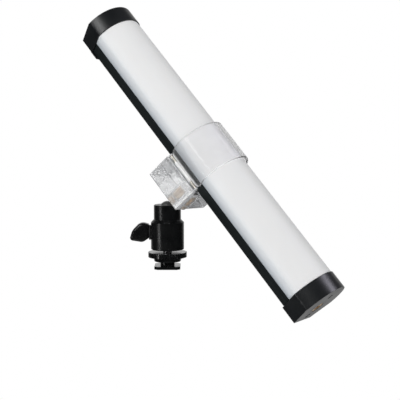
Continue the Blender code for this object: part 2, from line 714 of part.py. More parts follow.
def clip_loop(clip, materials):
    """Closed clear band round the tube; each leg narrows to a knuckle threaded on its pin."""
    half = CLIP_LENGTH / 2
    outer = section(LOOP_CLEAR + LOOP_WALL, LOOP_BACK_CLEAR + LOOP_WALL)
    inner = section(LOOP_CLEAR, LOOP_BACK_CLEAR)
    loop = extruded("clip_loop", clip, [outer, inner], -half, half)
    floor = BLOCK_TOP + GAP
    top = floor + KNUCKLE_THICK
    leg = facet_x(floor, LOOP_CLEAR + LOOP_WALL / 2)
    for label, side in SIDES.items():
        for end in (-1, 1):
            low, high = sorted_corners((side * NOTCH_IN, BLOCK_TOP - GAP, end * KNUCKLE_HALF_LENGTH),
                                       (side * BLOCK_HALF_WIDTH, top, end * CLIP_LENGTH))
            cut(loop, box(f"{label}_leg_notch_{end}", clip, low, high, cutter=True))
        low, high = sorted_corners((side * leg, floor, -KNUCKLE_HALF_LENGTH),
                                   (side * KNUCKLE_REACH, top, KNUCKLE_HALF_LENGTH))
        join(loop, box(f"{label}_knuckle", clip, low, high, cutter=True))
        cut(loop, rod(f"{label}_knuckle_bore", clip, PIN_RADIUS + GAP, -half, half,
                      location=(side * PIN_REACH, PIN_HEIGHT, 0), cutter=True, steps=16))
    paint(loop, materials["clear"])


def clip_block(clip, materials):
    """Clear block under the loop: a trough that cradles it, lugs for the pins, a threaded insert below."""
    half = CLIP_LENGTH / 2
    block = box("clip_block", clip, (-BLOCK_HALF_WIDTH, BLOCK_BASE, -half),
                (BLOCK_HALF_WIDTH, BLOCK_TOP, half), edge=BLOCK_EDGE)
    trough = section(LOOP_CLEAR + LOOP_WALL + GAP, LOOP_BACK_CLEAR + LOOP_WALL + GAP)
    cut(block, extruded("block_trough", clip, [trough], -half - GAP, half + GAP, cutter=True))
    bore = rod("block_bore", clip, INSERT_RADIUS + GAP, -1 * MM, INSERT_LENGTH + 2 * GAP,
               location=(0, BLOCK_BASE, -CLIP_SHIFT), rotation=(-math.pi / 2, 0, 0), cutter=True)
    cut(block, bore)
    lug_top = BLOCK_TOP + KNUCKLE_THICK
    lug_start = half - BEARING_LENGTH
    for label, side in SIDES.items():
        for end in (-1, 1):
            low, high = sorted_corners((side * BEARING_IN, BLOCK_TOP - BLOCK_EDGE, end * lug_start),
                                       (side * KNUCKLE_REACH, lug_top, end * (half - GAP)))
            join(block, box(f"{label}_lug_{end}", clip, low, high, cutter=True))
        cut(block, rod(f"{label}_lug_bore", clip, PIN_RADIUS + GAP, -half - GAP, half + GAP,
                       location=(side * PIN_REACH, PIN_HEIGHT, 0), cutter=True, steps=16))
    paint(block, materials["clear"])


def clip_pins(clip, materials):
    """Steel pins along the block's ledges, through the lugs and the loop's knuckles."""
    for label, side in SIDES.items():
        pin = rod(f"{label}_clip_pin", clip, PIN_RADIUS, -PIN_HALF_LENGTH, PIN_HALF_LENGTH,
                  location=(side * PIN_REACH, PIN_HEIGHT, 0), steps=16)
        paint(pin, materials["steel"])


def clip_insert(stem, materials):
    base = TUBE_HEIGHT + BLOCK_BASE + GAP
    top = base + INSERT_LENGTH
    bore_top = top - 0.6 * MM
    profile = [(0, top), (INSERT_RADIUS, top), (INSERT_RADIUS, base), (STUD_BORE, base),
               (STUD_BORE, bore_top), (0, bore_top)]
    paint(turned("clip_insert", stem, profile, steps=24), materials["brass"])


def saddle_pad(clip, materials):
    """Soft strip between the loop and the flat back, which grips the tube."""
    back = -BACK_DEPTH - GAP
    half = CLIP_LENGTH / 2 - 1.5 * MM
    thick = LOOP_BACK_CLEAR - 2 * GAP
    wide = BACK_HALF_WIDTH - 1.4 * MM
    paint(box("saddle_pad", clip, (-wide, back - thick, -half), (wide, back, half)), materials["rubber"])


# ---------------------------------------------------------------- ball head

def ball_stem(stem, materials):
    """Ball, neck and quarter-inch stud, turned from one bar."""
    neck_start = math.asin(STEM_RADIUS / BALL_RADIUS)
    sphere = [(BALL_RADIUS * math.sin(a), BALL_RADIUS * math.cos(a))
              for a in [neck_start + i * (math.pi - neck_start) / 12 for i in range(12)]]
    stud_base = PLATFORM_TOP + GAP
    edge = 0.4 * MM
    profile = [(0, STUD_TOP), (STUD_RADIUS - edge, STUD_TOP), (STUD_RADIUS, STUD_TOP - edge),
               (STUD_RADIUS, stud_base), (STEM_RADIUS, stud_base)] + sphere + [(0, -BALL_RADIUS)]
    paint(turned("ball_stem", stem, profile), materials["head_steel"])


def platform(stem, materials):
    edge = 0.4 * MM
    bore = STEM_RADIUS + GAP
    profile = [(PLATFORM_RADIUS - edge, PLATFORM_TOP), (PLATFORM_RADIUS, PLATFORM_TOP - edge),
               (PLATFORM_RADIUS, PLATFORM_BASE + edge), (PLATFORM_RADIUS - edge, PLATFORM_BASE),
               (bore, PLATFORM_BASE), (bore, PLATFORM_TOP)]
    paint(turned("platform", stem, profile, ring=True), materials["head_black"])


def platform_pad(stem, materials):
    radius = PLATFORM_RADIUS - 0.2 * MM
    base = PLATFORM_TOP + GAP
    profile = [(radius, PAD_TOP), (radius, base), (STUD_BORE, base), (STUD_BORE, PAD_TOP)]
    paint(turned("platform_pad", stem, profile, ring=True), materials["rubber"])


def head_housing(head, knob, materials):
    """Stepped barrel with the ball socket above, the stud's bore below and the knob's bore at the side."""
    lip_height = HEAD_TOP - BALL_HEIGHT
    lip = math.acos(lip_height / SOCKET_RADIUS)
    socket = [(SOCKET_RADIUS * math.sin(a), BALL_HEIGHT + SOCKET_RADIUS * math.cos(a))
              for a in [math.pi / 2 + i * (lip - math.pi / 2) / 5 for i in range(6)]]
    inside = [(0, CAVITY_FLOOR), (SOCKET_RADIUS, CAVITY_FLOOR)] + socket
    outside = [(HEAD_NARROW_RADIUS - HEAD_EDGE, HEAD_TOP), (HEAD_NARROW_RADIUS, HEAD_TOP - HEAD_EDGE),
               (HEAD_NARROW_RADIUS, HEAD_NARROW_BASE), (HEAD_WIDE_RADIUS, HEAD_WIDE_TOP),
               (HEAD_WIDE_RADIUS, HEAD_BASE + HEAD_EDGE), (HEAD_WIDE_RADIUS - HEAD_EDGE, HEAD_BASE)]
    bore = [(STUD_BORE, HEAD_BASE), (STUD_BORE, STUD_BORE_TOP), (0, STUD_BORE_TOP)]
    housing = turned("head_housing", head, inside + outside + bore, steps=48)
    notch = box("stem_notch", head, (STEM_RADIUS, -NOTCH_HALF_WIDTH, NOTCH_BASE),
                (HEAD_NARROW_RADIUS + 1 * MM, NOTCH_HALF_WIDTH, HEAD_TOP + 1 * MM), cutter=True)
    cut(housing, notch)
    cut(housing, rod("knob_bore", knob, KNOB_BORE, 0, HEAD_WIDE_RADIUS + 1 * MM, cutter=True))
    paint(housing, materials["head_black"])


def pressure_cup(head, materials):
    """Cup under the ball, with a cone below that the knob's screw lifts."""
    radius = BALL_RADIUS
    seat = SOCKET_RADIUS
    depth_angle = math.acos((BALL_HEIGHT - CUP_SEAT) / seat)
    bowl = [(seat * math.sin(a), BALL_HEIGHT - seat * math.cos(a))
            for a in [i * depth_angle / 5 for i in range(6)]]
    cone_top = CUP_BASE + CUP_CONE - 2 * GAP
    profile = bowl + [(radius, CUP_SEAT), (radius, cone_top), (CUP_TIP_RADIUS, CUP_BASE), (0, CUP_BASE)]
    paint(turned("pressure_cup", head, profile), materials["nylon"])


def knob_parts(knob, materials):
    """Screw with a conical tip, its thrust washer and the moulded paddle."""
    cone_end = KNOB_SCREW_TIP + KNOB_SCREW_RADIUS
    profile = [(0, KNOB_SCREW_END), (KNOB_SCREW_RADIUS, KNOB_SCREW_END), (KNOB_SCREW_RADIUS, cone_end),
               (0, KNOB_SCREW_TIP)]
    paint(turned("knob_screw", knob, profile, steps=24), materials["steel"])
    washer = [(KNOB_WASHER_RADIUS, KNOB_WASHER_TOP), (KNOB_WASHER_RADIUS, KNOB_WASHER_BASE),
              (KNOB_BORE, KNOB_WASHER_BASE), (KNOB_BORE, KNOB_WASHER_TOP)]
    paint(turned("knob_washer", knob, washer, ring=True, steps=32), materials["knob"])
    outline = rounded_corners(KNOB_CORNERS, 5)
    paddle = soft_slab("lock_knob", knob, outline, KNOB_HALF_THICK, KNOB_EDGE, rotation=(math.pi / 2, 0, 0))
    cut(paddle, rod("paddle_bore", knob, KNOB_SCREW_RADIUS + GAP, KNOB_BASE - 1 * MM, KNOB_SCREW_END + GAP,
                    cutter=True))
    paint(paddle, materials["knob"])


def shoe_foot(base, materials):
    half = FOOT_SIZE / 2
    corner = FOOT_CORNER
    right = [(half - corner, -half), (half, -half + corner), (half, half - corner), (half - corner, half)]
    foot = extruded("shoe_foot", base, [right + mirrored(right)], 0, FOOT_THICK)
    join(foot, rod("foot_neck", base, NECK_RADIUS, FOOT_THICK / 2, NECK_TOP, cutter=True))
    cut(foot, rod("foot_bore", base, STUD_BORE, FOOT_THICK / 3, NECK_TOP + GAP, cutter=True))
    paint(foot, materials["head_black"])


def base_stud(base, materials):
    edge = 0.4 * MM
    low = FOOT_THICK / 3 + GAP
    high = STUD_BORE_TOP - 0.4 * MM
    profile = [(0, high), (STUD_RADIUS - edge, high), (STUD_RADIUS, high - edge), (STUD_RADIUS, low), (0, low)]
    paint(turned("base_stud", base, profile, steps=24), materials["steel"])


def clamp_washer(base, materials):
    bore = NECK_RADIUS + GAP
    profile = [(WASHER_TOP_RADIUS, WASHER_TOP), (WASHER_BASE_RADIUS, WASHER_BASE), (bore, WASHER_BASE),
               (bore, WASHER_TOP)]
    paint(turned("clamp_washer", base, profile, ring=True), materials["head_black"])


def lock_wheel(base, materials):
    hole = arc(STUD_BORE, 0, 2 * math.pi, 24)[:-1]
    wheel = extruded("lock_wheel", base, [toothed(WHEEL_RADIUS, WHEEL_TEETH, TOOTH_DEPTH), hole],
                     WHEEL_BASE, WHEEL_TOP)
    paint(wheel, materials["head_black"])


# ---------------------------------------------------------------- assembly

def make_materials():
    return {
        "opal": finish("opal diffuser", (0.82, 0.84, 0.86), 0.45),
        "anodised": finish("black anodised aluminium", (0.018, 0.022, 0.022), 0.45, 0.3),
        "cap": finish("black cap plastic", (0.02, 0.022, 0.022), 0.35),
        "brass": finish("brass", (0.70, 0.48, 0.22), 0.3, 1.0),
        "steel": finish("steel", (0.55, 0.55, 0.55), 0.3, 1.0),
        "aluminium": finish("bare aluminium", (0.75, 0.76, 0.77), 0.4, 1.0),
        "board_white": finish("white circuit board", (0.85, 0.85, 0.80), 0.5),
        "board_green": finish("green circuit board", (0.02, 0.15, 0.06), 0.5),
        "cell": finish("cell sleeve", (0.05, 0.12, 0.35), 0.4),
        "nylon": finish("nylon", (0.6, 0.6, 0.57), 0.5),
        "panel": finish("black panel plastic", (0.015, 0.015, 0.016), 0.3),
        "window": finish("display window", (0.01, 0.012, 0.015), 0.08),
        "button": finish("button plastic", (0.05, 0.05, 0.052), 0.45),
        "clear": finish("clear plastic", (0.95, 0.96, 0.96), 0.05, 0.0, 1.0),
        "rubber": finish("rubber", (0.03, 0.03, 0.03), 0.8),
        "head_black": finish("black anodised head", (0.012, 0.012, 0.013), 0.35, 0.4),
        "head_steel": finish("blackened steel", (0.10, 0.10, 0.10), 0.3, 1.0),
        "knob": finish("black knob plastic", (0.015, 0.015, 0.016), 0.4),
    }


def build_tube(tube, materials):
    diffuser(tube, materials)
    back_channel(tube, materials)
    led_carrier(tube, materials)
    led_board(tube, materials)
    battery_cell("upper_cell", tube, UPPER_CELL_START, materials)
    battery_cell("lower_cell", tube, LOWER_CELL_START, materials)
    cell_contact("upper_cell_contact", tube, UPPER_CELL_START - 1 * MM, materials)
    cell_contact("lower_cell_contact", tube, LOWER_CELL_START + CELL_LENGTH + 2 * MM, materials)
    back_magnet("upper_magnet", tube, -99 * MM, materials)
    back_magnet("lower_magnet", tube, 20 * MM, materials)
    driver_board(tube, materials)
    control_board(tube, materials)
    control_panel(tube, materials)
    display(tube, materials)
    usb_port(tube, materials)
    for name, place in BUTTON_PLACES.items():
        push_button(name, tube, place, materials)
    control_dial(tube, materials)
    lower = frame_empty("lower_end", tube)
    upper = frame_empty("upper_end", tube, rotation=(0, math.pi, 0))
    for label, end, lip_length in (("lower", lower, 0), ("upper", upper, CAP_LIP_LENGTH)):
        end_cap(label + "_end_cap", end, lip_length, materials)
        thread_insert(label + "_thread_insert", end, materials)
        inner_bracket(label + "_inner_bracket", end, materials)
        for place, height in zip(("front", "back"), SCREW_HEIGHTS):
            cap_screw(f"{label}_{place}_cap_screw", end, height, materials)


def build_clip(clip, stem, materials):
    clip_loop(clip, materials)
    clip_block(clip, materials)
    clip_pins(clip, materials)
    clip_insert(stem, materials)
    saddle_pad(clip, materials)


def build_head(base, head, knob, stem, materials):
    ball_stem(stem, materials)
    platform(stem, materials)
    platform_pad(stem, materials)
    head_housing(head, knob, materials)
    pressure_cup(head, materials)
    knob_parts(knob, materials)
    shoe_foot(base, materials)
    base_stud(base, materials)
    clamp_washer(base, materials)
    lock_wheel(base, materials)


def main():
    clear_scene()
    new_collection(COLLECTION)
    new_collection(CUTTERS)
    materials = make_materials()
    base = frame_empty("foot_frame")
    head = frame_empty("head_frame", base, rotation=(0, 0, HEAD_TURN))
    knob = frame_empty("knob_frame", head, (0, 0, KNOB_HEIGHT), (0, math.pi / 2, KNOB_TURN - HEAD_TURN))
    ball = frame_empty("ball_frame", head, (0, 0, BALL_HEIGHT), (0, BALL_TILT, 0))
    stem = frame_empty("stem_frame", ball, rotation=(0, 0, STEM_TURN))
    along_tube = (math.pi / 2, 0, math.pi / 2)
    clip = frame_empty("clip_frame", stem, (CLIP_SHIFT, 0, TUBE_HEIGHT), along_tube)
    tube = frame_empty("tube_frame", clip, (0, 0, TUBE_SHIFT))
    build_tube(tube, materials)
    build_clip(clip, stem, materials)
    build_head(base, head, knob, stem, materials)


main()
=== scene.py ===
"""Looks for the handheld LED light tube in its clear clip on a mini ball head."""

import json
import math

import bmesh
import bpy
from mathutils import Matrix, Vector


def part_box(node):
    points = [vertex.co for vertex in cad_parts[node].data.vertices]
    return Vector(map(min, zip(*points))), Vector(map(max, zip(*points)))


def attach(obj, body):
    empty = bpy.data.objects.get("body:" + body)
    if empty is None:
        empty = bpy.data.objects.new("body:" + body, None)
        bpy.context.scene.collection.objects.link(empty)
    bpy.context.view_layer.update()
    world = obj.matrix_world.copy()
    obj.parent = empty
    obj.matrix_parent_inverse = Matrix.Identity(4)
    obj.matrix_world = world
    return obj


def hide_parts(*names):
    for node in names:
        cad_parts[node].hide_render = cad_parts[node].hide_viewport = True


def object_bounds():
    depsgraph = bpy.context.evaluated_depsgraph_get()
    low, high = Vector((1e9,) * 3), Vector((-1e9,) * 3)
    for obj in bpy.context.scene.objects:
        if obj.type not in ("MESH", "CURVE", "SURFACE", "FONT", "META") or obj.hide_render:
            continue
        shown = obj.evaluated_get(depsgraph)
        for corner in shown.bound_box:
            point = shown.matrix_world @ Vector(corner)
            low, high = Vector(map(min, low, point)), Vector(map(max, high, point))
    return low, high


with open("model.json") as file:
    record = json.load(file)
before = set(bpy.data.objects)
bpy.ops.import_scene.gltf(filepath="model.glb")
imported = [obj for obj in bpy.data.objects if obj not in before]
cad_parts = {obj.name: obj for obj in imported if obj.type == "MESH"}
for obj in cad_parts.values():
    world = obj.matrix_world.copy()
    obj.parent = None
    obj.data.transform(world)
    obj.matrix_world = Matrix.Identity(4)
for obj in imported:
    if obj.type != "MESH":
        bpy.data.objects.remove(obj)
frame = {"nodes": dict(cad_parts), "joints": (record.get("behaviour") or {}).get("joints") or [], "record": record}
CAD_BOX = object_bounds()

MM = 0.001
NODES = frame["nodes"]
RECORD = frame["record"]

# ---------------------------------------------------------------- frames

JOINTS = {joint["name"]: joint for joint in frame["joints"]}
MOUNTS = {mount["name"]: mount for mount in RECORD["mounts"]}

ALONG = Vector(JOINTS["tube_slide"]["axis"]).normalized()     # along the tube, towards its lower end
FRONT = Vector(JOINTS["clip_spin"]["axis"]).normalized()      # out through the diffuser's front
SIDE = FRONT.cross(ALONG).normalized()
LOWER_FACE = Vector(MOUNTS["lower_end_face"]["pos_m"])
UPPER_FACE = Vector(MOUNTS["upper_end_face"]["pos_m"])
FACE_POINT = 10 * MM                                          # the face mounts sit this far along SIDE
TUBE = (LOWER_FACE + UPPER_FACE) / 2 - SIDE * FACE_POINT
CLIP_SHIFT = 1.8 * MM                                         # the clip sits this far below the tube's middle
CLIP = TUBE + ALONG * CLIP_SHIFT
TUBE_FRAME = Matrix((SIDE, FRONT, ALONG)).transposed().to_4x4()
TUBE_FRAME.translation = TUBE
CLIP_FRAME = TUBE_FRAME.copy()
CLIP_FRAME.translation = CLIP
UP = Vector((0, 0, 1))


# ---------------------------------------------------------------- node graphs

NOISE_LOW = 0.3
NOISE_HIGH = 0.7


class Graph:
    """Builds one material around a Principled shader."""

    def __init__(self, name, **values):
        self.material = bpy.data.materials.new(name)
        self.material.use_nodes = True
        self.tree = self.material.node_tree
        self.shader = self.tree.nodes["Principled BSDF"]
        for socket, value in values.items():
            self.shader.inputs[socket.replace("_", " ")].default_value = value

    def add(self, kind, inputs=None, **properties):
        node = self.tree.nodes.new(kind)
        for key, value in properties.items():
            setattr(node, key, value)
        for key, value in (inputs or {}).items():
            self.feed(node.inputs[key], value)
        return node

    def feed(self, socket, value):
        if isinstance(value, bpy.types.NodeSocket):
            self.tree.links.new(value, socket)
        else:
            socket.default_value = value

    def place(self):
        return self.add("ShaderNodeTexCoord").outputs["Object"]

    def maths(self, operation, first, second=0.0):
        return self.add("ShaderNodeMath", {0: first, 1: second}, operation=operation).outputs[0]

    def dot(self, first, second):
        node = self.add("ShaderNodeVectorMath", {0: first, 1: second}, operation="DOT_PRODUCT")
        return node.outputs["Value"]

    def measure(self, origin, axis):
        """Distance in metres from origin, along axis."""
        away = self.add("ShaderNodeVectorMath", {0: self.place(), 1: tuple(origin)}, operation="SUBTRACT")
        return self.dot(away.outputs[0], tuple(axis))

    def grain_space(self, axes, stretch):
        """Coordinates along three axes, each scaled, so that grain can run along a piece."""
        parts = [self.maths("MULTIPLY", self.measure((0, 0, 0), axis), factor)
                 for axis, factor in zip(axes, stretch)]
        return self.add("ShaderNodeCombineXYZ", {0: parts[0], 1: parts[1], 2: parts[2]}).outputs[0]

    def noise(self, scale, detail=2.0, space=None, roughness=0.5):
        """Noise of about scale features a metre."""
        inputs = {"Vector": space or self.place(), "Scale": scale, "Detail": detail, "Roughness": roughness}
        return self.add("ShaderNodeTexNoise", inputs).outputs["Fac"]

    def ramp(self, value, stops):
        """Colour ramp of (position, colour or grey) stops."""
        node = self.add("ShaderNodeValToRGB", {"Fac": value})
        elements = node.color_ramp.elements
        while len(elements) < len(stops):
            elements.new(0.5)
        for element, (position, colour) in zip(elements, stops):
            element.position = position
            element.color = (colour,) * 3 + (1,) if isinstance(colour, float) else (*colour, 1)
        return node.outputs["Color"]

    def spread(self, value, low, high, out_low, out_high):
        """Maps value from low..high to out_low..out_high, and holds it there outside."""
        inputs = {"Value": value, "From Min": low, "From Max": high, "To Min": out_low, "To Max": out_high}
        return self.add("ShaderNodeMapRange", inputs).outputs["Result"]

    def over_noise(self, noise, low=0.0, high=1.0):
        """Maps the range that a noise mostly keeps to, to low..high."""
        return self.spread(noise, NOISE_LOW, NOISE_HIGH, low, high)

    def mix(self, factor, first, second, blend="MIX"):
        node = self.add("ShaderNodeMix", data_type="RGBA", blend_type=blend)
        self.feed(node.inputs[0], factor)
        for index, colour in ((6, first), (7, second)):
            value = colour if isinstance(colour, bpy.types.NodeSocket) else (*colour, 1.0)
            self.feed(node.inputs[index], value)
        return node.outputs[2]

    def edges(self, radius, low=0.02, high=0.25):
        """1 along sharp edges and 0 elsewhere."""
        soft = self.add("ShaderNodeBevel", {"Radius": radius}, samples=4).outputs[0]
        normal = self.add("ShaderNodeNewGeometry").outputs["Normal"]
        return self.spread(self.maths("SUBTRACT", 1.0, self.dot(soft, normal)), low, high, 0.0, 1.0)

    def bump(self, height, strength, distance, normal=None):
        inputs = {"Height": height, "Strength": strength, "Distance": distance}
        node = self.add("ShaderNodeBump", inputs)
        if normal is not None:
            self.feed(node.inputs["Normal"], normal)
        return node.outputs["Normal"]

    def colour(self, value):
        self.feed(self.shader.inputs["Base Color"], value)

    def rough(self, value):
        self.feed(self.shader.inputs["Roughness"], value)

    def normal(self, value):
        self.feed(self.shader.inputs["Normal"], value)


# ---------------------------------------------------------------- materials

def worn_edges(g, radius, scale, low, high, most):
    """Patchy wear, up to most along sharp edges and 0 elsewhere."""
    return g.maths("MULTIPLY", g.edges(radius), g.spread(g.noise(scale, 4.0), low, high, 0.0, most))


def opal_diffuser():
    """White satin plastic, with painted shade: greyer and bluer towards the back, standing in for the dark channel
    seen through it and the shade on its sides.
    """
    g = Graph("opal_diffuser", Specular_IOR_Level=0.3, IOR=1.5)
    g.shader.inputs["Subsurface Weight"].default_value = 0.12
    g.shader.inputs["Subsurface Radius"].default_value = (1.0, 0.9, 0.8)
    g.shader.inputs["Subsurface Scale"].default_value = 0.004
    # Painted shade: the colour darkens to bluish grey towards the back, in place of the dark channel showing
    # through and the shade on the sides.
    height = g.measure(TUBE, FRONT)
    painted_back_shade = g.ramp(g.spread(height, -5.0 * MM, 9.0 * MM, 0.0, 1.0),
                    [(0.0, (0.40, 0.44, 0.48)), (0.1, (0.53, 0.57, 0.61)), (0.3, (0.72, 0.75, 0.78)),
                     (0.5, (0.80, 0.825, 0.845)), (0.68, (0.87, 0.875, 0.88)), (1.0, (0.86, 0.86, 0.86))])
    streaks = g.noise(90.0, 3.0, g.grain_space((SIDE, FRONT, ALONG), (1.0, 1.0, 0.04)))
    cloud = g.noise(28.0, 2.0)
    shade = g.mix(g.over_noise(streaks), (0.985, 0.985, 0.985), (1.0, 1.0, 1.0))
    tint = g.mix(g.over_noise(cloud), (0.99, 0.99, 0.995), (1.0, 1.0, 1.0))
    g.colour(g.mix(1.0, g.mix(1.0, painted_back_shade, shade, "MULTIPLY"), tint, "MULTIPLY"))
    g.rough(g.over_noise(streaks, 0.46, 0.56))
    g.normal(g.bump(g.noise(2600.0, 2.0), 0.06, 0.00005))
    return g.material


def anodised_channel():
    """Black anodised extrusion with fine die lines along it."""
    g = Graph("anodised_channel", IOR=1.45)
    lines = g.noise(900.0, 3.0, g.grain_space((SIDE, FRONT, ALONG), (1.0, 1.0, 0.01)))
    grit = g.noise(5200.0, 2.0)
    wear = worn_edges(g, 0.4 * MM, 160.0, 0.45, 0.75, 0.5)
    base = g.mix(g.over_noise(lines), (0.0055, 0.0095, 0.0105), (0.0105, 0.0155, 0.0165))
    g.colour(g.mix(wear, base, (0.10, 0.11, 0.11)))
    g.rough(g.spread(g.maths("ADD", lines, grit), 0.7, 1.3, 0.42, 0.58))
    g.normal(g.bump(lines, 0.12, 0.00004, g.bump(grit, 0.10, 0.00002)))
    return g.material


def cap_plastic():
    """Black moulded plastic with a fine spark texture."""
    g = Graph("cap_plastic", IOR=1.47)
    spark = g.noise(1400.0, 2.0)
    cloud = g.noise(60.0, 3.0)
    wear = worn_edges(g, 0.6 * MM, 220.0, 0.45, 0.75, 0.45)
    base = g.mix(g.over_noise(cloud), (0.008, 0.0095, 0.011), (0.014, 0.0155, 0.017))
    g.colour(g.mix(wear, base, (0.07, 0.075, 0.08)))
    g.rough(g.over_noise(cloud, 0.30, 0.37))
    g.normal(g.bump(spark, 0.05, 0.00002))
    return g.material


def black_metal(name, grain_axes, low=0.34, high=0.46):
    """Black anodised turned metal with fine rings round its axis and bright worn edges."""
    g = Graph(name, IOR=1.42)
    rings = g.noise(1500.0, 2.0, g.grain_space(grain_axes, (0.02, 0.02, 1.0)))
    grit = g.noise(4200.0, 2.0)
    cloud = g.noise(120.0, 3.0)
    wear = worn_edges(g, 0.3 * MM, 350.0, 0.42, 0.7, 0.55)
    base = g.mix(g.over_noise(cloud), (0.0035, 0.0038, 0.0042), (0.0070, 0.0074, 0.0078))
    g.colour(g.mix(wear, base, (0.12, 0.12, 0.12)))
    g.rough(g.spread(g.maths("ADD", rings, cloud), 0.7, 1.3, low, high))
    g.normal(g.bump(rings, 0.10, 0.00003, g.bump(grit, 0.10, 0.00002)))
    return g.material


def knob_plastic():
    """Glossier black moulded plastic than the caps have."""
    g = Graph("knob_plastic", IOR=1.46)
    spark = g.noise(3000.0, 3.0, roughness=0.7)
    cloud = g.noise(150.0, 3.0)
    base = g.mix(g.over_noise(cloud), (0.004, 0.0042, 0.0046), (0.009, 0.0092, 0.0096))
    g.colour(base)
    g.rough(g.over_noise(cloud, 0.22, 0.32))
    g.normal(g.bump(spark, 0.14, 0.00004))
    return g.material


def bright_metal(name, dark, light, low, high, axes=(SIDE, FRONT, ALONG), metallic=0.7):
    """Machined metal: turning marks and faint tarnish; on the insert's brass the wide colour range turns the
    tarnish patches into painted glints.
    """
    g = Graph(name, Metallic=metallic)
    rings = g.noise(2200.0, 2.0, g.grain_space(axes, (0.1, 0.1, 1.0)))
    tarnish_and_painted_glints = g.noise(420.0, 4.0)
    g.colour(g.mix(g.spread(tarnish_and_painted_glints, 0.35, 0.7, 0.0, 1.0), light, dark))
    g.rough(g.spread(g.maths("ADD", rings, tarnish_and_painted_glints), 0.7, 1.3, low, high))
    g.normal(g.bump(rings, 0.12, 0.00003))
    return g.material


def near_pins(g):
    """1 on the hinge pins' two lines and 0 from a few millimetres away."""
    x = g.maths("SUBTRACT", g.maths("ABSOLUTE", g.measure(CLIP, SIDE)), PIN.x)
    y = g.maths("SUBTRACT", g.measure(CLIP, FRONT), PIN.y)
    away = g.maths("SQRT", g.maths("ADD", g.maths("MULTIPLY", x, x), g.maths("MULTIPLY", y, y)))
    return g.spread(away, 1.8 * MM, 3.2 * MM, 1.0, 0.0)


CLEAR_BAND = {
    "index": 1.25,
    "dark": (0.97, 0.97, 0.97),
    "light": (0.99, 0.99, 0.99),
    "haze": 0.05,
    "rim": 0.9 * MM,
    "rim_haze": 0.55,
    "rough_low": 0.09,
    "rough_high": 0.15,
    "ripple_scale": 60.0,
    "ripple_height": 0.00001,
}
CLEAR_BLOCK = {
    "index": 1.38,
    "dark": (0.62, 0.63, 0.64),
    "light": (0.92, 0.93, 0.94),
    "haze": 0.18,
    "rim": 1.8 * MM,
    "rim_haze": 0.6,
    "rough_low": 0.02,
    "rough_high": 0.16,
    "ripple_scale": 380.0,
    "ripple_height": 0.00014,
}


def clear_plastic(name, index, dark, light, haze, rim, rim_haze, rough_low, rough_high,
                  ripple_scale, ripple_height):
    """Clear moulded polycarbonate: part clear and part milky, frosted at the hinges and along its rims,
    with moulding ripple and small scuffs."""
    g = Graph(name, IOR=index)
    scuffs = g.noise(700.0, 5.0, g.grain_space((SIDE, FRONT, ALONG), (1.0, 1.0, 0.3)))
    ripple = g.noise(ripple_scale, 3.0)
    # Darker at grazing angles: partly the longer path through the plastic, partly painted shade along its
    # silhouettes and edges.
    path_and_painted_edge_shade = g.add("ShaderNodeLayerWeight", {"Blend": 0.35}).outputs["Facing"]
    tint = g.mix(g.over_noise(ripple), dark, light)
    g.colour(g.mix(1.0, tint, g.mix(path_and_painted_edge_shade, (1.0, 1.0, 1.0), (0.66, 0.66, 0.67)), "MULTIPLY"))
    patches = g.spread(g.noise(240.0, 4.0), 0.35, 0.7, 1.0 - haze, 1.0 - haze * 0.55)
    frost = g.maths("MULTIPLY", near_pins(g), g.spread(scuffs, 0.35, 0.6, 0.5, 0.9))
    frost = g.maths("MAXIMUM", frost, g.maths("MULTIPLY", g.edges(rim, 0.004, 0.06), rim_haze))
    clear = g.maths("SUBTRACT", 1.0, frost)
    g.feed(g.shader.inputs["Transmission Weight"], g.maths("MULTIPLY", patches, clear))
    g.rough(g.spread(scuffs, 0.5, 0.8, rough_low, rough_high))
    g.normal(g.bump(ripple, 0.2, ripple_height))
    return g.material


def soft_rubber(name, dark, light):
    g = Graph(name)
    cloud = g.noise(300.0, 3.0)
    g.colour(g.mix(g.over_noise(cloud), dark, light))
    g.rough(g.over_noise(cloud, 0.66, 0.85))
    g.normal(g.bump(g.noise(2500.0, 3.0), 0.3, 0.00006))
    return g.material


def satin_plastic(name, dark, light, low, high):
    g = Graph(name, IOR=1.47)
    cloud = g.noise(180.0, 3.0)
    g.colour(g.mix(g.over_noise(cloud), dark, light))
    g.rough(g.over_noise(cloud, low, high))
    g.normal(g.bump(g.noise(3400.0, 2.0), 0.14, 0.00004))
    return g.material


def circuit_board(name, base, trace):
    """Solder mask over copper tracks."""
    g = Graph(name)
    inputs = {"Vector": g.grain_space((SIDE, FRONT, ALONG), (1, 1, 0.4)), "Scale": 420.0}
    tracks = g.add("ShaderNodeTexVoronoi", inputs, distance="CHEBYCHEV").outputs["Distance"]
    lines = g.spread(tracks, 0.42, 0.5, 0.0, 1.0)
    g.colour(g.mix(lines, base, trace))
    g.rough(g.over_noise(g.noise(500.0, 2.0), 0.3, 0.45))
    g.normal(g.bump(lines, 0.2, 0.00005))
    return g.material


def display_glass():
    """Dark display behind polished acrylic, with faint smears."""
    g = Graph("display_glass", IOR=1.49, Coat_Weight=0.5, Coat_Roughness=0.04)
    smear = g.noise(130.0, 4.0)
    g.colour(g.mix(g.over_noise(smear), (0.006, 0.007, 0.009), (0.012, 0.014, 0.017)))
    g.rough(g.spread(smear, 0.35, 0.75, 0.05, 0.16))
    return g.material


BARREL_AXES = (Vector((1, 0, 0)), Vector((0, 1, 0)), UP)
STEM_AXES = (SIDE, ALONG, FRONT)


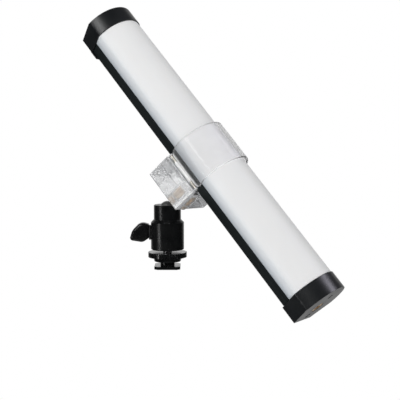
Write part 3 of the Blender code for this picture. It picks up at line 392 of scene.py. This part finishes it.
def dress():
    """Gives every CAD node its material."""
    steel = bright_metal("plated_steel", (0.42, 0.42, 0.43), (0.68, 0.68, 0.69), 0.22, 0.38)
    pin = bright_metal("nickel_pin", (0.50, 0.46, 0.40), (0.86, 0.82, 0.74), 0.25, 0.4, metallic=0.45)
    brass = bright_metal("turned_brass", (0.50, 0.28, 0.09), (0.83, 0.55, 0.24), 0.20, 0.36)
    head = black_metal("black_head", BARREL_AXES, 0.26, 0.34)
    wheel = black_metal("black_wheel", BARREL_AXES, 0.12, 0.22)
    rubber = soft_rubber("black_rubber", (0.012, 0.012, 0.013), (0.024, 0.024, 0.025))
    nylon = satin_plastic("natural_nylon", (0.52, 0.52, 0.49), (0.64, 0.64, 0.61), 0.45, 0.6)
    button = satin_plastic("button_plastic", (0.022, 0.023, 0.025), (0.036, 0.037, 0.039), 0.42, 0.55)
    green = circuit_board("green_board", (0.012, 0.10, 0.04), (0.05, 0.22, 0.10))
    looks = {
        "diffuser": opal_diffuser(),
        "back_channel": anodised_channel(),
        "lower_end_cap": cap_plastic(),
        "led_carrier": bright_metal("bare_aluminium", (0.62, 0.63, 0.65), (0.78, 0.79, 0.80), 0.35, 0.5),
        "led_board": circuit_board("white_board", (0.80, 0.80, 0.76), (0.88, 0.88, 0.84)),
        "driver_board": green,
        "control_board": green,
        "upper_cell": satin_plastic("cell_sleeve", (0.03, 0.09, 0.30), (0.05, 0.13, 0.38), 0.3, 0.42),
        "control_panel": satin_plastic("panel_plastic", (0.010, 0.011, 0.012), (0.017, 0.018, 0.019),
                                       0.36, 0.48),
        "display_window": display_glass(),
        "display_module": satin_plastic("display_module", (0.02, 0.02, 0.022), (0.03, 0.03, 0.033), 0.3, 0.4),
        "saddle_pad": soft_rubber("clear_silicone", (0.50, 0.52, 0.53), (0.62, 0.64, 0.65)),
        "platform_pad": rubber,
        "head_housing": head,
        "ball_stem": bright_metal("ball_steel", (0.20, 0.20, 0.20), (0.36, 0.36, 0.355),
                                  0.2, 0.34, STEM_AXES),
        "platform": black_metal("black_platform", STEM_AXES),
        "lock_knob": knob_plastic(),
    }
    looks["upper_end_cap"] = looks["lower_end_cap"]
    looks["lower_cell"] = looks["upper_cell"]
    for name in ("shoe_foot", "clamp_washer", "lock_wheel"):
        looks[name] = wheel
    looks["knob_washer"] = rubber
    for name in ("lower_thread_insert", "upper_thread_insert"):
        looks[name] = brass
    # Painted glints: the insert's brass runs from dark tarnish to very bright patches, which stand in for the
    # glints it shows through the block.
    looks["clip_insert"] = bright_metal("brass_tarnish_and_painted_glints", (0.10, 0.045, 0.012), (1.0, 0.60, 0.22), 0.18, 0.32)
    for name in ("left_clip_pin", "right_clip_pin"):
        looks[name] = pin
    for name in ("lower_inner_bracket", "upper_inner_bracket", "pressure_cup"):
        looks[name] = nylon
    for name in ("mode_button", "menu_button", "power_button", "control_dial"):
        looks[name] = button
    for name, node in NODES.items():
        node.data.materials.clear()
        node.data.materials.append(looks.get(name, steel))


SHARP_ANGLE = 38                                              # degrees
EDGE_ANGLE = 35                                               # degrees
WELD_NODES = 0.002 * MM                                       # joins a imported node's separate faces
EDGE_WIDTHS = {                                               # millimetres
    "back_channel": 0.25, "control_panel": 0.2, "lock_wheel": 0.18, "clamp_washer": 0.25, "shoe_foot": 0.3,
    "head_housing": 0.15, "platform": 0.15, "platform_pad": 0.3, "led_carrier": 0.15, "saddle_pad": 0.2,
    "control_dial": 0.15, "display_window": 0.15, "knob_washer": 0.1, "usb_c_port": 0.1,
}


def sharp_by_angle(limit):
    """Geometry nodes that keep the shading of edges sharper than the limit crisp."""
    group = bpy.data.node_groups.new("sharp_by_angle", "GeometryNodeTree")
    for in_out in ("INPUT", "OUTPUT"):
        group.interface.new_socket("Geometry", in_out=in_out, socket_type="NodeSocketGeometry")
    start = group.nodes.new("NodeGroupInput")
    end = group.nodes.new("NodeGroupOutput")
    angle = group.nodes.new("GeometryNodeInputMeshEdgeAngle")
    gentle = group.nodes.new("ShaderNodeMath")
    gentle.operation = "LESS_THAN"
    gentle.inputs[1].default_value = math.radians(limit)
    shade = group.nodes.new("GeometryNodeSetShadeSmooth")
    shade.domain = "EDGE"
    for source, target in ((angle.outputs["Unsigned Angle"], gentle.inputs[0]),
                           (start.outputs["Geometry"], shade.inputs["Geometry"]),
                           (gentle.outputs[0], shade.inputs["Shade Smooth"]),
                           (shade.outputs["Geometry"], end.inputs["Geometry"])):
        group.links.new(source, target)
    return group


SHARP = sharp_by_angle(SHARP_ANGLE)


def soften(name, node):
    """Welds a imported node's faces together, rounds its edges and smooths its shading."""
    custom = node.data.attributes.get("custom_normal")
    if custom:
        node.data.attributes.remove(custom)
    node.data.polygons.foreach_set("use_smooth", [True] * len(node.data.polygons))
    weld = node.modifiers.new("weld", "WELD")
    weld.merge_threshold = WELD_NODES
    if name in EDGE_WIDTHS:
        bevel = node.modifiers.new("edges", "BEVEL")
        bevel.width = EDGE_WIDTHS[name] * MM
        bevel.segments = 2
        bevel.limit_method = "ANGLE"
        bevel.angle_limit = math.radians(EDGE_ANGLE)
    node.modifiers.new("sharp", "NODES").node_group = SHARP
    normals = node.modifiers.new("normals", "WEIGHTED_NORMAL")
    normals.keep_sharp = True
    node.data.update()


# ---------------------------------------------------------------- clear clip

def extent(name, origin, axis):
    """Lowest and highest reach of a node along an axis through origin."""
    reach = [(vertex.co - origin).dot(axis) for vertex in NODES[name].data.vertices]
    return min(reach), max(reach)


RADIUS = extent("diffuser", TUBE, SIDE)[1]
BACK = extent("back_channel", TUBE, FRONT)[0]
BACK_HALF = max(abs((vertex.co - TUBE).dot(SIDE)) for vertex in NODES["back_channel"].data.vertices
                if (vertex.co - TUBE).dot(FRONT) < BACK + 0.01 * MM)
FACET_TOP = 1.2 * MM
TUBE_SIDE = Vector((math.sqrt(RADIUS ** 2 - FACET_TOP ** 2), FACET_TOP))
TUBE_CORNER = Vector((BACK_HALF, BACK))
FACET_RUN = (TUBE_SIDE - TUBE_CORNER).normalized()
FACET_TURN = math.atan2(-FACET_RUN.x, FACET_RUN.y)            # direction that the facet faces
FACET_OUT = Vector((math.cos(FACET_TURN), math.sin(FACET_TURN)))
SOFT_RADIUS = 7.0 * MM                                        # the band rounds the facet's top edge over
SOFT_REACH = FACET_OUT.dot(TUBE_CORNER) - SOFT_RADIUS
SOFT_CENTRE = FACET_OUT * SOFT_REACH + FACET_RUN * math.sqrt((RADIUS - SOFT_RADIUS) ** 2 - SOFT_REACH ** 2)
ARC_TURN = math.atan2(SOFT_CENTRE.y, SOFT_CENTRE.x)
BAND_HALF = extent("clip_block", CLIP, ALONG)[1]
BACK_LENGTH_HALF = BAND_HALF - 2 * MM                          # of the band behind the flat back
BAND_IN = 1.0 * MM
BAND_WALL = 1.8 * MM
BAND_MIDDLE = BAND_IN + BAND_WALL / 2
BAND_EDGE = 0.6 * MM
PAD_ROOM = 0.4 * MM                                           # more room at the flat back, for the pad
TROUGH_GAP = 0.3 * MM
BLOCK_HALF = extent("clip_block", CLIP, SIDE)[1]
BLOCK_BASE = extent("clip_block", CLIP, FRONT)[0]
BLOCK_TOP = -11.8 * MM
INSERT_RADIUS = 4.6 * MM
INSERT_DEPTH = 9.4 * MM
INSERT_SIDES = 40
PIN_SIDES = 20
PIN_STEP = 15                                                 # degrees between points round a pin
PIN_POINTS = 11
KNUCKLE_START = -75                                           # degrees
PIN = Vector((sum(extent("right_clip_pin", CLIP, SIDE)) / 2, sum(extent("right_clip_pin", CLIP, FRONT)) / 2))
PIN_BORE = 1.05 * MM
KNUCKLE_HALF = 8.5 * MM
KNUCKLE_ROUND = 1.42 * MM
KNUCKLE_REACH = 1.6 * MM                                      # from the pin back into the leg
KNUCKLE_FOOT = 0.9 * MM                                       # further back at its lower edge
KNUCKLE_RISE = 0.5 * MM                                       # higher where it meets the leg
LEG_LOW = PIN.y + 1.3 * MM                                    # lower edge of the legs beside each knuckle
LEG_ROUND = 3.2 * MM
LUG_LENGTH = 1.2 * MM
LUG_ROOT = 0.8 * MM                                           # how far it sinks into the block
LUG_ROUND = 1.35 * MM
LUG_REACH = 1.25 * MM                                         # from the pin towards the tube
LUG_SHOULDER = 0.55 * MM                                      # top of its tube side, above the pin
WELD_DISTANCE = 0.005 * MM
RIM_ANGLE = 50                                                # degrees
CREASE_ANGLE = 32                                             # degrees


def rounded_corners(corners, steps):
    """Outline through (x, y, radius) corners, each rounded to its radius."""
    points = []
    for i, (x, y, radius) in enumerate(corners):
        corner = Vector((x, y))
        before = (Vector(corners[i - 1][:2]) - corner).normalized()
        after = (Vector(corners[(i + 1) % len(corners)][:2]) - corner).normalized()
        half = before.angle(after) / 2
        centre = corner + (before + after).normalized() * (radius / math.sin(half))
        start = corner + before * (radius / math.tan(half)) - centre
        end = corner + after * (radius / math.tan(half)) - centre
        for step in range(steps + 1):
            points.append(centre + start.lerp(end, step / steps).normalized() * radius)
    return points


def mesh_object(name, shape, place):
    """Object with its mesh in world coordinates, as the CAD nodes have."""
    bmesh.ops.recalc_face_normals(shape, faces=shape.faces)
    bmesh.ops.transform(shape, matrix=place, verts=shape.verts)
    mesh = bpy.data.meshes.new(name)
    shape.to_mesh(mesh)
    shape.free()
    piece = bpy.data.objects.new(name, mesh)
    bpy.context.scene.collection.objects.link(piece)
    return piece


def prism(name, outline, start, end, place):
    """An outline drawn along local Z from start to end."""
    shape = bmesh.new()
    low = [shape.verts.new((point.x, point.y, start)) for point in outline]
    high = [shape.verts.new((point.x, point.y, end)) for point in outline]
    shape.faces.new(list(reversed(low)))
    shape.faces.new(high)
    for i in range(len(outline)):
        j = (i + 1) % len(outline)
        shape.faces.new((low[i], low[j], high[j], high[i]))
    return mesh_object(name, shape, place)


def circle(centre, radius, steps):
    turns = [2 * math.pi * i / steps for i in range(steps)]
    return [centre + Vector((math.cos(turn), math.sin(turn))) * radius for turn in turns]


def bake(piece):
    """Applies a piece's modifiers to its mesh."""
    evaluated = piece.evaluated_get(bpy.context.evaluated_depsgraph_get())
    mesh = bpy.data.meshes.new_from_object(evaluated)
    piece.modifiers.clear()
    piece.data = mesh


def weld(piece):
    """Merges points that a boolean leaves almost on each other, so that no face has zero area."""
    shape = bmesh.new()
    shape.from_mesh(piece.data)
    bmesh.ops.remove_doubles(shape, verts=shape.verts, dist=WELD_DISTANCE)
    bmesh.ops.dissolve_degenerate(shape, edges=shape.edges, dist=WELD_DISTANCE)
    shape.to_mesh(piece.data)
    shape.free()


def combine(piece, tools, operation):
    for tool in tools:
        boolean = piece.modifiers.new("shape", "BOOLEAN")
        boolean.operation = operation
        boolean.solver = "EXACT"
        boolean.object = tool
    bake(piece)
    weld(piece)
    for tool in tools:
        bpy.data.objects.remove(tool, do_unlink=True)


def round_rims(piece, width):
    bevel = piece.modifiers.new("rims", "BEVEL")
    bevel.width = width
    bevel.segments = 3
    bevel.limit_method = "ANGLE"
    bevel.angle_limit = math.radians(RIM_ANGLE)
    bake(piece)


def smooth(piece):
    piece.data.shade_smooth()
    piece.data.set_sharp_from_angle(angle=math.radians(CREASE_ANGLE))
    piece.modifiers.new("normals", "WEIGHTED_NORMAL").keep_sharp = True


CORNER_STEPS = 6
FACET_STEPS = 60
SOFT_STEPS = 12
FRONT_STEPS = 32


def band_half_length(height):
    """Half length of the band at a height on its legs: rounded corners, then the knuckle's width."""
    if height > LEG_LOW + LEG_ROUND:
        return BAND_HALF
    if height > LEG_LOW:
        fall = LEG_LOW + LEG_ROUND - height
        return BAND_HALF - LEG_ROUND + math.sqrt(max(LEG_ROUND ** 2 - fall ** 2, 0.0))
    return KNUCKLE_HALF if height > BLOCK_TOP else BACK_LENGTH_HALF


def band_path():
    """Stations round the tube's section, from the back's middle: base point, direction out, half length."""
    right = [(Vector((0, BACK - PAD_ROOM)), -math.pi / 2, BACK_LENGTH_HALF)]
    for i in range(CORNER_STEPS + 1):
        turn = -math.pi / 2 + (FACET_TURN + math.pi / 2) * i / CORNER_STEPS
        right.append((TUBE_CORNER - Vector((0, PAD_ROOM * (1 - i / CORNER_STEPS))), turn, BACK_LENGTH_HALF))
    facet_end = SOFT_CENTRE + FACET_OUT * SOFT_RADIUS
    for i in range(1, FACET_STEPS):
        point = TUBE_CORNER.lerp(facet_end, i / FACET_STEPS)
        height = point.y + BAND_MIDDLE * FACET_OUT.y
        right.append((point, FACET_TURN, band_half_length(height)))
    for i in range(SOFT_STEPS + 1):
        turn = FACET_TURN + (ARC_TURN - FACET_TURN) * i / SOFT_STEPS
        out = Vector((math.cos(turn), math.sin(turn)))
        right.append((SOFT_CENTRE + out * SOFT_RADIUS, turn, BAND_HALF))
    for i in range(1, FRONT_STEPS + 1):
        turn = ARC_TURN + (math.pi / 2 - ARC_TURN) * i / FRONT_STEPS
        right.append((Vector((math.cos(turn), math.sin(turn))) * RADIUS, turn, BAND_HALF))
    left = [(Vector((-point.x, point.y)), math.pi - turn, half)
            for point, turn, half in reversed(right[1:-1])]
    return right + left


def band_profile(half):
    """Rounded rectangle of the band's wall: (distance out, distance along) points."""
    corner = (BAND_IN + BAND_EDGE, BAND_IN + BAND_WALL - BAND_EDGE)
    points = []
    for out, along, first in ((corner[1], half - BAND_EDGE, 0), (corner[0], half - BAND_EDGE, 90),
                              (corner[0], BAND_EDGE - half, 180), (corner[1], BAND_EDGE - half, 270)):
        for step in range(4):
            turn = math.radians(first + 30 * step)
            points.append((out + BAND_EDGE * math.cos(turn), along + BAND_EDGE * math.sin(turn)))
    return points


def knuckle_outline(side):
    """Round the pin, and back into the leg above and below it."""
    low = PIN.y - KNUCKLE_ROUND
    leg = PIN.x - KNUCKLE_REACH
    outline = [Vector((leg - KNUCKLE_FOOT, low)), Vector((PIN.x, low))]
    outline += [PIN + Vector((math.cos(turn), math.sin(turn))) * KNUCKLE_ROUND
                for turn in [math.radians(KNUCKLE_START + PIN_STEP * i) for i in range(PIN_POINTS)]]
    outline += [Vector((PIN.x, PIN.y + KNUCKLE_ROUND)), Vector((leg, PIN.y + KNUCKLE_ROUND + KNUCKLE_RISE))]
    return [Vector((point.x * side, point.y)) for point in outline]


def clear_band():
    """The clip's loop: a moulded band swept round the tube, with a knuckle on each pin."""
    path = band_path()
    shape = bmesh.new()
    rings = []
    for point, turn, half in path:
        out = Vector((math.cos(turn), math.sin(turn)))
        rings.append([shape.verts.new((*(point + out * reach), along))
                      for reach, along in band_profile(half)])
    for i, ring in enumerate(rings):
        after = rings[(i + 1) % len(rings)]
        for j in range(len(ring)):
            k = (j + 1) % len(ring)
            shape.faces.new((ring[j], ring[k], after[k], after[j]))
    band = mesh_object("clear_band", shape, CLIP_FRAME)
    knuckles = []
    bores = []
    for side in (-1, 1):
        knuckle = prism("knuckle", knuckle_outline(side), -KNUCKLE_HALF, KNUCKLE_HALF, CLIP_FRAME)
        round_rims(knuckle, 0.25 * MM)
        knuckles.append(knuckle)
        bores.append(prism("pin_bore", circle(Vector((PIN.x * side, PIN.y)), PIN_BORE, PIN_SIDES),
                           -BAND_HALF, BAND_HALF, CLIP_FRAME))
    combine(band, knuckles, "UNION")
    combine(band, bores, "DIFFERENCE")
    return band


def block_outline():
    """Section of the block: square below, hollowed above to cradle the loop."""
    out = BAND_IN + BAND_WALL + TROUGH_GAP
    on_facet = TUBE_CORNER + FACET_OUT * out
    rim = on_facet + FACET_RUN * ((BLOCK_TOP - on_facet.y) / FACET_RUN.y)
    floor = BACK - PAD_ROOM - out
    low = on_facet + FACET_RUN * ((floor - on_facet.y) / FACET_RUN.y)
    right = [(BLOCK_HALF, BLOCK_BASE, 1.1 * MM), (BLOCK_HALF, BLOCK_TOP, 0.5 * MM), (rim.x, rim.y, 0.3 * MM),
             (low.x, low.y, 2.2 * MM)]
    left = [(-x, y, radius) for x, y, radius in reversed(right)]
    return rounded_corners(right + left, 5)


def lug_outline(side):
    """Up from the block and round the pin."""
    low = BLOCK_TOP - LUG_ROOT
    outline = [Vector((PIN.x - LUG_REACH, low)), Vector((PIN.x + LUG_ROUND, low))]
    outline += [PIN + Vector((math.cos(turn), math.sin(turn))) * LUG_ROUND
                for turn in [math.radians(PIN_STEP * i) for i in range(PIN_POINTS)]]
    outline += [Vector((PIN.x - LUG_REACH, PIN.y + LUG_SHOULDER))]
    return [Vector((point.x * side, point.y)) for point in outline]


def clear_block():
    """The clip's block, with its trough, its lugs and the bore for the threaded insert."""
    block = prism("clear_block", block_outline(), -BAND_HALF, BAND_HALF, CLIP_FRAME)
    round_rims(block, 0.7 * MM)
    lugs = []
    bores = []
    for side in (-1, 1):
        for end in (-1, 1):
            start, stop = sorted((end * (BAND_HALF - LUG_LENGTH), end * (BAND_HALF - TROUGH_GAP)))
            lug = prism("lug", lug_outline(side), start, stop, CLIP_FRAME)
            round_rims(lug, 0.2 * MM)
            lugs.append(lug)
        bores.append(prism("lug_bore", circle(Vector((PIN.x * side, PIN.y)), PIN_BORE, PIN_SIDES),
                           -BAND_HALF * 1.1, BAND_HALF * 1.1, CLIP_FRAME))
    points = [vertex.co for vertex in NODES["clip_insert"].data.vertices]
    insert = sum(points, Vector()) / len(points)
    across = Matrix((SIDE, ALONG, -FRONT)).transposed().to_4x4()
    across.translation = CLIP + ALONG * (insert - CLIP).dot(ALONG) + FRONT * BLOCK_BASE
    hole = circle(Vector((0, 0)), INSERT_RADIUS, INSERT_SIDES)
    bores.append(prism("insert_bore", hole, -INSERT_DEPTH, 1 * MM, across))
    combine(block, lugs, "UNION")
    combine(block, bores, "DIFFERENCE")
    return block


def make_clip():
    """The two clear pieces, in the place of their plainer CAD nodes."""
    band_look = clear_plastic("clear_band", **CLEAR_BAND)
    block_look = clear_plastic("clear_block", **CLEAR_BLOCK)
    for piece, material, node in ((clear_band(), band_look, "clip_loop"),
                                  (clear_block(), block_look, "clip_block")):
        piece.data.materials.clear()
        piece.data.materials.append(material)
        smooth(piece)
        piece.visible_shadow = False
        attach(piece, "clip")
        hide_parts(node)


# ---------------------------------------------------------------- collars beside the knob's washer

COLLAR_RADIUS = 5.0 * MM
COLLAR_BORE = 2.6 * MM                                        # clears the knob's screw
COLLAR_PLAY = 0.04 * MM                                       # clears the part that moves past it
BOSS_ROOT = 1.86 * MM                                         # how far the boss sinks into the barrel
SPACER_ROOT = 0.05 * MM                                       # how far the spacer sinks into the washer
COLLAR_RIM = 0.08 * MM
COLLAR_SIDES = 48
BORE_SIDES = 24


def make_collar(name, start, end, node, body):
    """A dark ring round the knob's screw, from start to end along X, that looks as the node does."""
    low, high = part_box("knob_washer")
    place = Matrix(((0, 0, 1), (1, 0, 0), (0, 1, 0))).to_4x4()
    place.translation = (0, (low[1] + high[1]) / 2, (low[2] + high[2]) / 2)
    collar = prism(name, circle(Vector((0, 0)), COLLAR_RADIUS, COLLAR_SIDES), start, end, place)
    round_rims(collar, COLLAR_RIM)
    bore = prism("collar_bore", circle(Vector((0, 0)), COLLAR_BORE, BORE_SIDES), start - MM, end + MM, place)
    combine(collar, [bore], "DIFFERENCE")
    collar.data.materials.clear()
    collar.data.materials.append(NODES[node].data.materials[0])
    smooth(collar)
    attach(collar, body)


def make_collars():
    """The boss on the barrel and the spacer on the washer, which hide the knob's running gaps."""
    washer_out, washer_in = (corner[0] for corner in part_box("knob_washer"))
    knob_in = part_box("lock_knob")[1][0]
    boss = washer_in + COLLAR_PLAY
    spacer = knob_in + COLLAR_PLAY
    make_collar("knob_boss", boss, boss + BOSS_ROOT, "head_housing", "head")
    make_collar("knob_spacer", spacer, washer_out + SPACER_ROOT, "knob_washer", "knob_washer")


# ---------------------------------------------------------------- stage

WORLD_FILL = 0.53                                             # on matt surfaces
MIRRORED_FRONT = 0.02                                         # in mirror rays, by where they go
MIRRORED_BEHIND = 1.0
MIRRORED_BELOW = 0.5
THROUGH_FRONT = 0.5                                           # in rays through clear plastic
THROUGH_BEHIND = 0.72
MIRROR_TURN = (0.6, 1.0)                                      # along Y, from front to behind
BELOW_TURN = (-0.95, -0.55)                                   # along Z, from below to level
THROUGH_TURN = (-0.3, 0.6)                                    # along Y, from front to behind
FLOOR_GREY = 0.8
FLOOR_DROP = 0.12                                             # below the object's lowest point
FLOOR_HALF = 6.0
CAMERA_PLACE = (0.0227, -0.6236, 0.1067)
CAMERA_PITCH = 5.4                                            # degrees downwards
LENS_MM = 81.0
SENSOR_MM = 36.0


def area_light(name, place, aim, size, watts, colour=(1, 1, 1), mirrored=False):
    """A mirrored lamp shows only as a reflection. Any other lights matt surfaces and isn't mirrored."""
    lamp = bpy.data.lights.new(name, "AREA")
    lamp.shape = "RECTANGLE"
    lamp.size, lamp.size_y = size
    lamp.energy = watts
    lamp.color = colour
    light = bpy.data.objects.new(name, lamp)
    light.location = place
    light.rotation_euler = (Vector(aim) - Vector(place)).to_track_quat("-Z", "Y").to_euler()
    light.visible_glossy = mirrored
    light.visible_diffuse = not mirrored
    light.visible_transmission = False
    bpy.context.scene.collection.objects.link(light)


def make_world():
    """White surroundings. Each kind of ray sees its own strength: plain white for the camera, half to
    three quarters of that through clear plastic, a soft fill on matt surfaces, and for mirror rays dark in
    front of the object and brighter behind and below it."""
    world = bpy.data.worlds.new("studio")
    world.use_nodes = True
    world.cycles.sampling_method = "NONE"
    tree = world.node_tree
    background = tree.nodes["Background"]
    background.inputs["Color"].default_value = (1.0, 1.0, 1.0, 1.0)
    path = tree.nodes.new("ShaderNodeLightPath")

    def between(factor, low, high, start=0.0, end=1.0):
        node = tree.nodes.new("ShaderNodeMapRange")
        values = {"Value": factor, "From Min": start, "From Max": end, "To Min": low, "To Max": high}
        for socket, value in values.items():
            if isinstance(value, bpy.types.NodeSocket):
                tree.links.new(value, node.inputs[socket])
            else:
                node.inputs[socket].default_value = value
        return node.outputs["Result"]

    place = tree.nodes.new("ShaderNodeTexCoord").outputs["Generated"]
    parts = tree.nodes.new("ShaderNodeSeparateXYZ")
    tree.links.new(place, parts.inputs[0])
    mirrored = between(parts.outputs["Y"], MIRRORED_FRONT, MIRRORED_BEHIND, *MIRROR_TURN)
    below = between(parts.outputs["Z"], MIRRORED_BELOW, 0.0, *BELOW_TURN)
    either = tree.nodes.new("ShaderNodeMath")
    either.operation = "MAXIMUM"
    tree.links.new(mirrored, either.inputs[0])
    tree.links.new(below, either.inputs[1])
    through = between(parts.outputs["Y"], THROUGH_FRONT, THROUGH_BEHIND, *THROUGH_TURN)
    clear = between(path.outputs["Transmission Depth"], either.outputs[0], through)
    lit = between(path.outputs["Diffuse Depth"], clear, WORLD_FILL)
    strength = between(path.outputs["Is Camera Ray"], lit, 1.0)
    tree.links.new(strength, background.inputs["Strength"])
    bpy.context.scene.world = world


def make_floor():
    """Pale sheet, which the camera sees as plain white, as the backdrop is."""
    mesh = bpy.data.meshes.new("studio_floor")
    shape = bmesh.new()
    bmesh.ops.create_grid(shape, x_segments=1, y_segments=1, size=FLOOR_HALF)
    shape.to_mesh(mesh)
    shape.free()
    floor = bpy.data.objects.new("studio_floor", mesh)
    floor.location = (0, 0, CAD_BOX[0][2] - FLOOR_DROP)
    bpy.context.scene.collection.objects.link(floor)
    g = Graph("pale_floor", Roughness=0.9)
    g.shader.inputs["Base Color"].default_value = (FLOOR_GREY, FLOOR_GREY, FLOOR_GREY, 1.0)
    bright = g.add("ShaderNodeEmission")
    seen = g.add("ShaderNodeLightPath").outputs["Is Camera Ray"]
    blend = g.add("ShaderNodeMixShader", {0: seen, 1: g.shader.outputs[0], 2: bright.outputs[0]})
    g.tree.links.new(blend.outputs[0], g.tree.nodes["Material Output"].inputs["Surface"])
    mesh.materials.append(g.material)
    floor.visible_glossy = False
    floor.visible_transmission = False


def make_camera():
    data = bpy.data.cameras.new("camera")
    data.lens = LENS_MM
    data.sensor_width = SENSOR_MM
    camera = bpy.data.objects.new("camera", data)
    camera.location = CAMERA_PLACE
    camera.rotation_euler = (math.radians(90 - CAMERA_PITCH), 0, 0)
    bpy.context.scene.collection.objects.link(camera)
    bpy.context.scene.camera = camera


def make_stage():
    make_camera()
    make_world()
    make_floor()
    area_light("front_softbox", (-0.5, -1.5, 0.9), TUBE, size=(0.9, 0.9), watts=13.2)
    area_light("right_softbox", (1.0, -0.1, 0.9), TUBE, size=(0.5, 0.7), watts=1.2)
    area_light("left_strip", (-1.0, -0.62, -0.1), (0, 0, 0.05), size=(0.14, 0.4), watts=1.5, mirrored=True)
    area_light("upper_kicker", (-0.67, -0.76, 0.75), UPPER_FACE, size=(0.5, 0.4), watts=4.6, mirrored=True)
    area_light("lower_kicker", (0.90, -0.05, 0.90), LOWER_FACE, size=(0.42, 0.40), watts=4.8,
               colour=(0.9, 0.88, 1.0), mirrored=True)
    bpy.context.scene.view_settings.view_transform = "Standard"


dress()
for node_name, node_object in NODES.items():
    soften(node_name, node_object)
make_clip()
make_collars()
make_stage()
